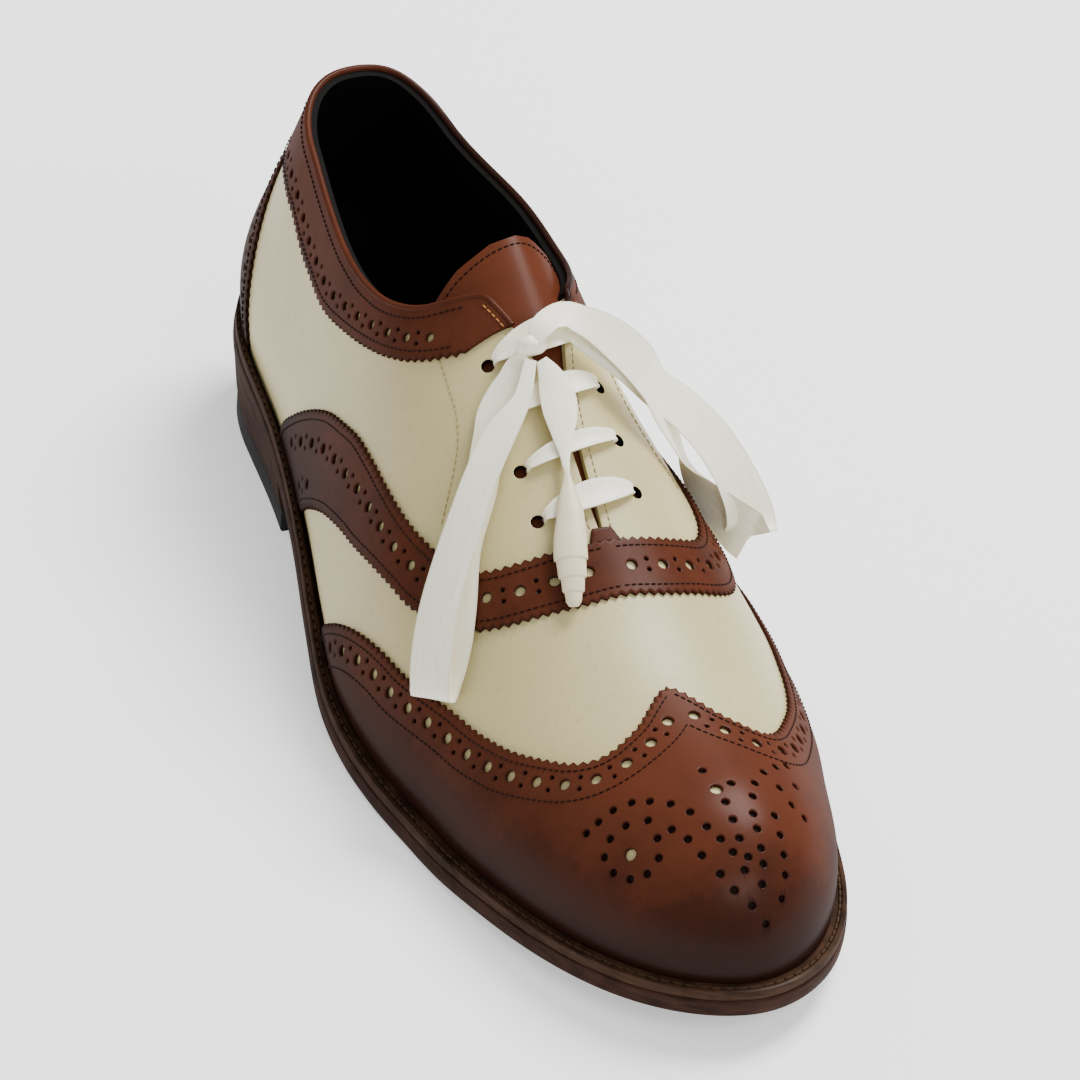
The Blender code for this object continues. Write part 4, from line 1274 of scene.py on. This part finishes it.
def ribbon_rings(path, widths, ways, thick=RIBBON_THICK, cup=0.0, part=0.97, power=8, least=0.05):
    """Rings of a flat ribbon along a path; its width lies along ways and it may be cupped across."""
    run = unit(np.gradient(path, axis=0))
    wide = unit(ways - run * (ways * run).sum(-1, keepdims=True))
    face = np.cross(run, wide)
    cup = np.broadcast_to(cup, len(path))[:, None]
    rings = []
    for hand in (1, -1):
        sweep = ACROSS[::hand]
        edge = np.sqrt(np.maximum(1 - (np.abs(sweep) * part) ** power, least))
        rise_up = cup * sweep ** 2 + thick / 2 * hand * edge
        rings.append(path[:, None] + wide[:, None] * (widths[:, None] * sweep / 2)[..., None]
                     + face[:, None] * rise_up[..., None])
    return np.concatenate(rings, 1)


def ribbon_piece(name, rings, node, tip_rings=0):
    """Ribbon skin; its last rings may be a rolled tip, which is a little darker."""
    tip = np.arange(len(rings)) >= len(rings) - tip_rings
    across = np.concatenate([ACROSS, ACROSS[::-1]])
    attributes = {"along": lengths(rings.mean(1))[:, None], "across": across, "tip": tip[:, None]}
    return tube(name, node, rings, SATIN, attributes)


def make_lace_bars():
    """Lace crossings: each dives into an eyelet on either side and swells between them."""
    share = np.linspace(-BAR_REACH, BAR_REACH, 45)
    t = np.clip(share, -1, 1)
    side = np.where(t < 0, LATERAL, MEDIAL)
    bow = np.maximum(1 - t ** 2, 0)
    lift = BAR_LIFT + BAR_BOW * np.sqrt(bow) - BAR_DIVE * np.maximum(np.abs(share) - 1.0, 0)
    for number, (lateral_s, medial_s, girth) in enumerate(EYELETS, 1):
        s = lateral_s + (medial_s - lateral_s) * (t + 1) / 2
        path = lifted(side, s, RIDGE + (girth + BAR_INSET - RIDGE) * np.abs(t), lift)
        widths = BAR_END_WIDTH + (BAR_WIDTHS[number - 1] - BAR_END_WIDTH) * bow ** 0.8
        rings = ribbon_rings(path, widths, np.broadcast_to(BAR_WAY, path.shape), BAR_THICK, BAR_CUP)
        ribbon_piece("lace_crossing_%d" % number, rings, "lace_bar_%d" % number)


def strand(rows):
    """Points, widths and width directions of ribbon rows."""
    s, w, lift, width, *lean = np.array(rows, float).T
    side, girth = half_girth(w)
    points = lifted(side, s, girth, lift)
    run = unit(np.gradient(points, axis=0))
    flat = unit(np.cross(normal(side, s, girth), run))
    turn = np.radians(lean[0] if lean else 0 * s)[:, None]
    return np.column_stack([points, width, np.cos(turn) * flat + np.sin(turn) * np.cross(run, flat)])


def make_loop(name, node, out, back):
    """Bow loop: one ribbon out from the knot, folded over and back to it."""
    rows = through(np.concatenate([strand(out), strand(back)[::-1]]), 1.3)
    cup = LOOP_CUP * np.sin(np.linspace(0, 2 * FULL_TURN, len(rows)))
    made = ribbon_piece(name, ribbon_rings(rows[:, :3], rows[:, 3], rows[:, 4:], cup=cup), node)


def make_tail():
    """Short end of the lace: a leaf of ribbon, then its rolled and wrapped tip."""
    rows = through(strand(TAIL_FRONT), 1.0)
    cup = TAIL_CUP * rows[:, 3] / rows[:, 3].max()
    rows, cup = rows[:-TAIL_OVERLAP], cup[:-TAIL_OVERLAP]
    leaf = ribbon_rings(rows[:, :3], rows[:, 3], rows[:, 4:], cup=cup)
    s, w, lift = np.array(TAIL_TIP).T
    side, girth = half_girth(w)
    fine = through(np.column_stack([lifted(side, s, girth, lift), normal(side, s, girth)]), 0.2)
    path = fine[:, :3]
    share = lengths(path)
    half = np.interp(share / share[-1], *TIP_PROFILE.T)
    run = unit(np.gradient(path, axis=0))
    wide = unit(np.cross(fine[:, 3:], run))
    face = np.cross(run, wide)
    turn = np.concatenate([ACROSS, 2 - ACROSS[::-1]])[None, :, None] * math.pi / 2
    roll = path[:, None] + half[:, None, None] * (
        np.sin(turn) * wide[:, None] + np.cos(turn) * TIP_FLAT * face[:, None])
    made = ribbon_piece("lace_tail_ribbon", np.concatenate([leaf, roll]), "lace_tail_front", len(roll))


def make_knot(rows=30, turns=48):
    """Knot: a ribbon pulled tight over itself, with folds that run round it."""
    v = np.linspace(-math.pi / 2, math.pi / 2, rows)[:, None]
    t = round_turn(turns)[..., 0]
    fold = 1 + 0.07 * np.cos(6 * v + 1.6 * np.sin(t)) * np.cos(v) + 0.04 * np.cos(3 * t + 2 * v)
    ball = np.stack([np.sin(v) * fold, np.cos(v) * np.cos(t) * fold, np.cos(v) * np.sin(t) * fold], -1)
    rings = lifted(*np.array(KNOT_AT)) + ball * KNOT_SIZE
    tube("lace_knot_ribbon", "lace_knot", rings[1:-1], SATIN, {"along": 0.0, "across": 0.0})


def make_camera():
    camera = bpy.data.objects.new("camera", bpy.data.cameras.new("camera"))
    bpy.context.scene.collection.objects.link(camera)
    azimuth, elevation = math.radians(VIEW_AZIMUTH), math.radians(VIEW_ELEVATION)
    level = math.cos(elevation)
    back = Vector((math.sin(azimuth) * level, -math.cos(azimuth) * level, math.sin(elevation)))
    turn = (-back).to_track_quat("-Z", "Y").to_matrix().to_4x4() @ Matrix.Rotation(VIEW_ROLL, 4, "Z")
    camera.matrix_world = Matrix.Translation(Vector(VIEW_TARGET) + back * VIEW_DISTANCE) @ turn
    camera.data.lens = VIEW_LENS
    camera.data.sensor_width = SENSOR
    camera.data.clip_end = VIEW_END
    bpy.context.scene.camera = camera


def make_lamp(name, place, target, size, power):
    lamp = bpy.data.lights.new(name, "AREA")
    lamp.shape = "RECTANGLE"
    lamp.size, lamp.size_y = size
    lamp.energy = power
    made = bpy.data.objects.new(name, lamp)
    bpy.context.scene.collection.objects.link(made)
    made.location = place
    made.rotation_mode = "QUATERNION"
    made.rotation_quaternion = (Vector(target) - Vector(place)).to_track_quat("-Z", "Y")


def make_stage():
    """Pale floor that glows a little, an even sky and two lamps."""
    pale = Finish("pale_floor", Roughness=0.7, Emission_Color=WHITE, Emission_Strength=FLOOR_GLOW)
    pale.feed(Base_Color=pale.noise(40, 2).blend((250, 250, 250), (247, 247, 247)))
    corners = np.array(((-1, -1, 0), (1, -1, 0), (1, 1, 0), (-1, 1, 0))) * FLOOR_REACH
    floor = mesh_piece("floor", corners, [(0, 1, 2, 3)], [pale.material])
    sky = bpy.data.worlds.new("studio")
    sky.use_nodes = True
    background = sky.node_tree.nodes["Background"]
    background.inputs["Color"].default_value = WHITE
    background.inputs["Strength"].default_value = SKY_STRENGTH
    bpy.context.scene.world = sky
    for lamp in LAMPS:
        make_lamp(*lamp)


make_camera()
make_stage()
make_loop("lace_loop_lateral_ribbon", "lace_loop_lateral", LOOP_LATERAL_OUT, LOOP_LATERAL_BACK)
make_loop("lace_loop_medial_ribbon", "lace_loop_medial", LOOP_MEDIAL_OUT, LOOP_MEDIAL_BACK)
make_tail()
make_knot()
make_lace_bars()
make_upper()
make_facing_stitches()
make_wing_cap()
make_vamp_band()
make_collar_band()
make_back_strip()
make_tongue()
make_sole()
make_welt()

insole = frame["nodes"]["insole"]
insole.data.materials.clear()
insole.data.materials.append(LINING)
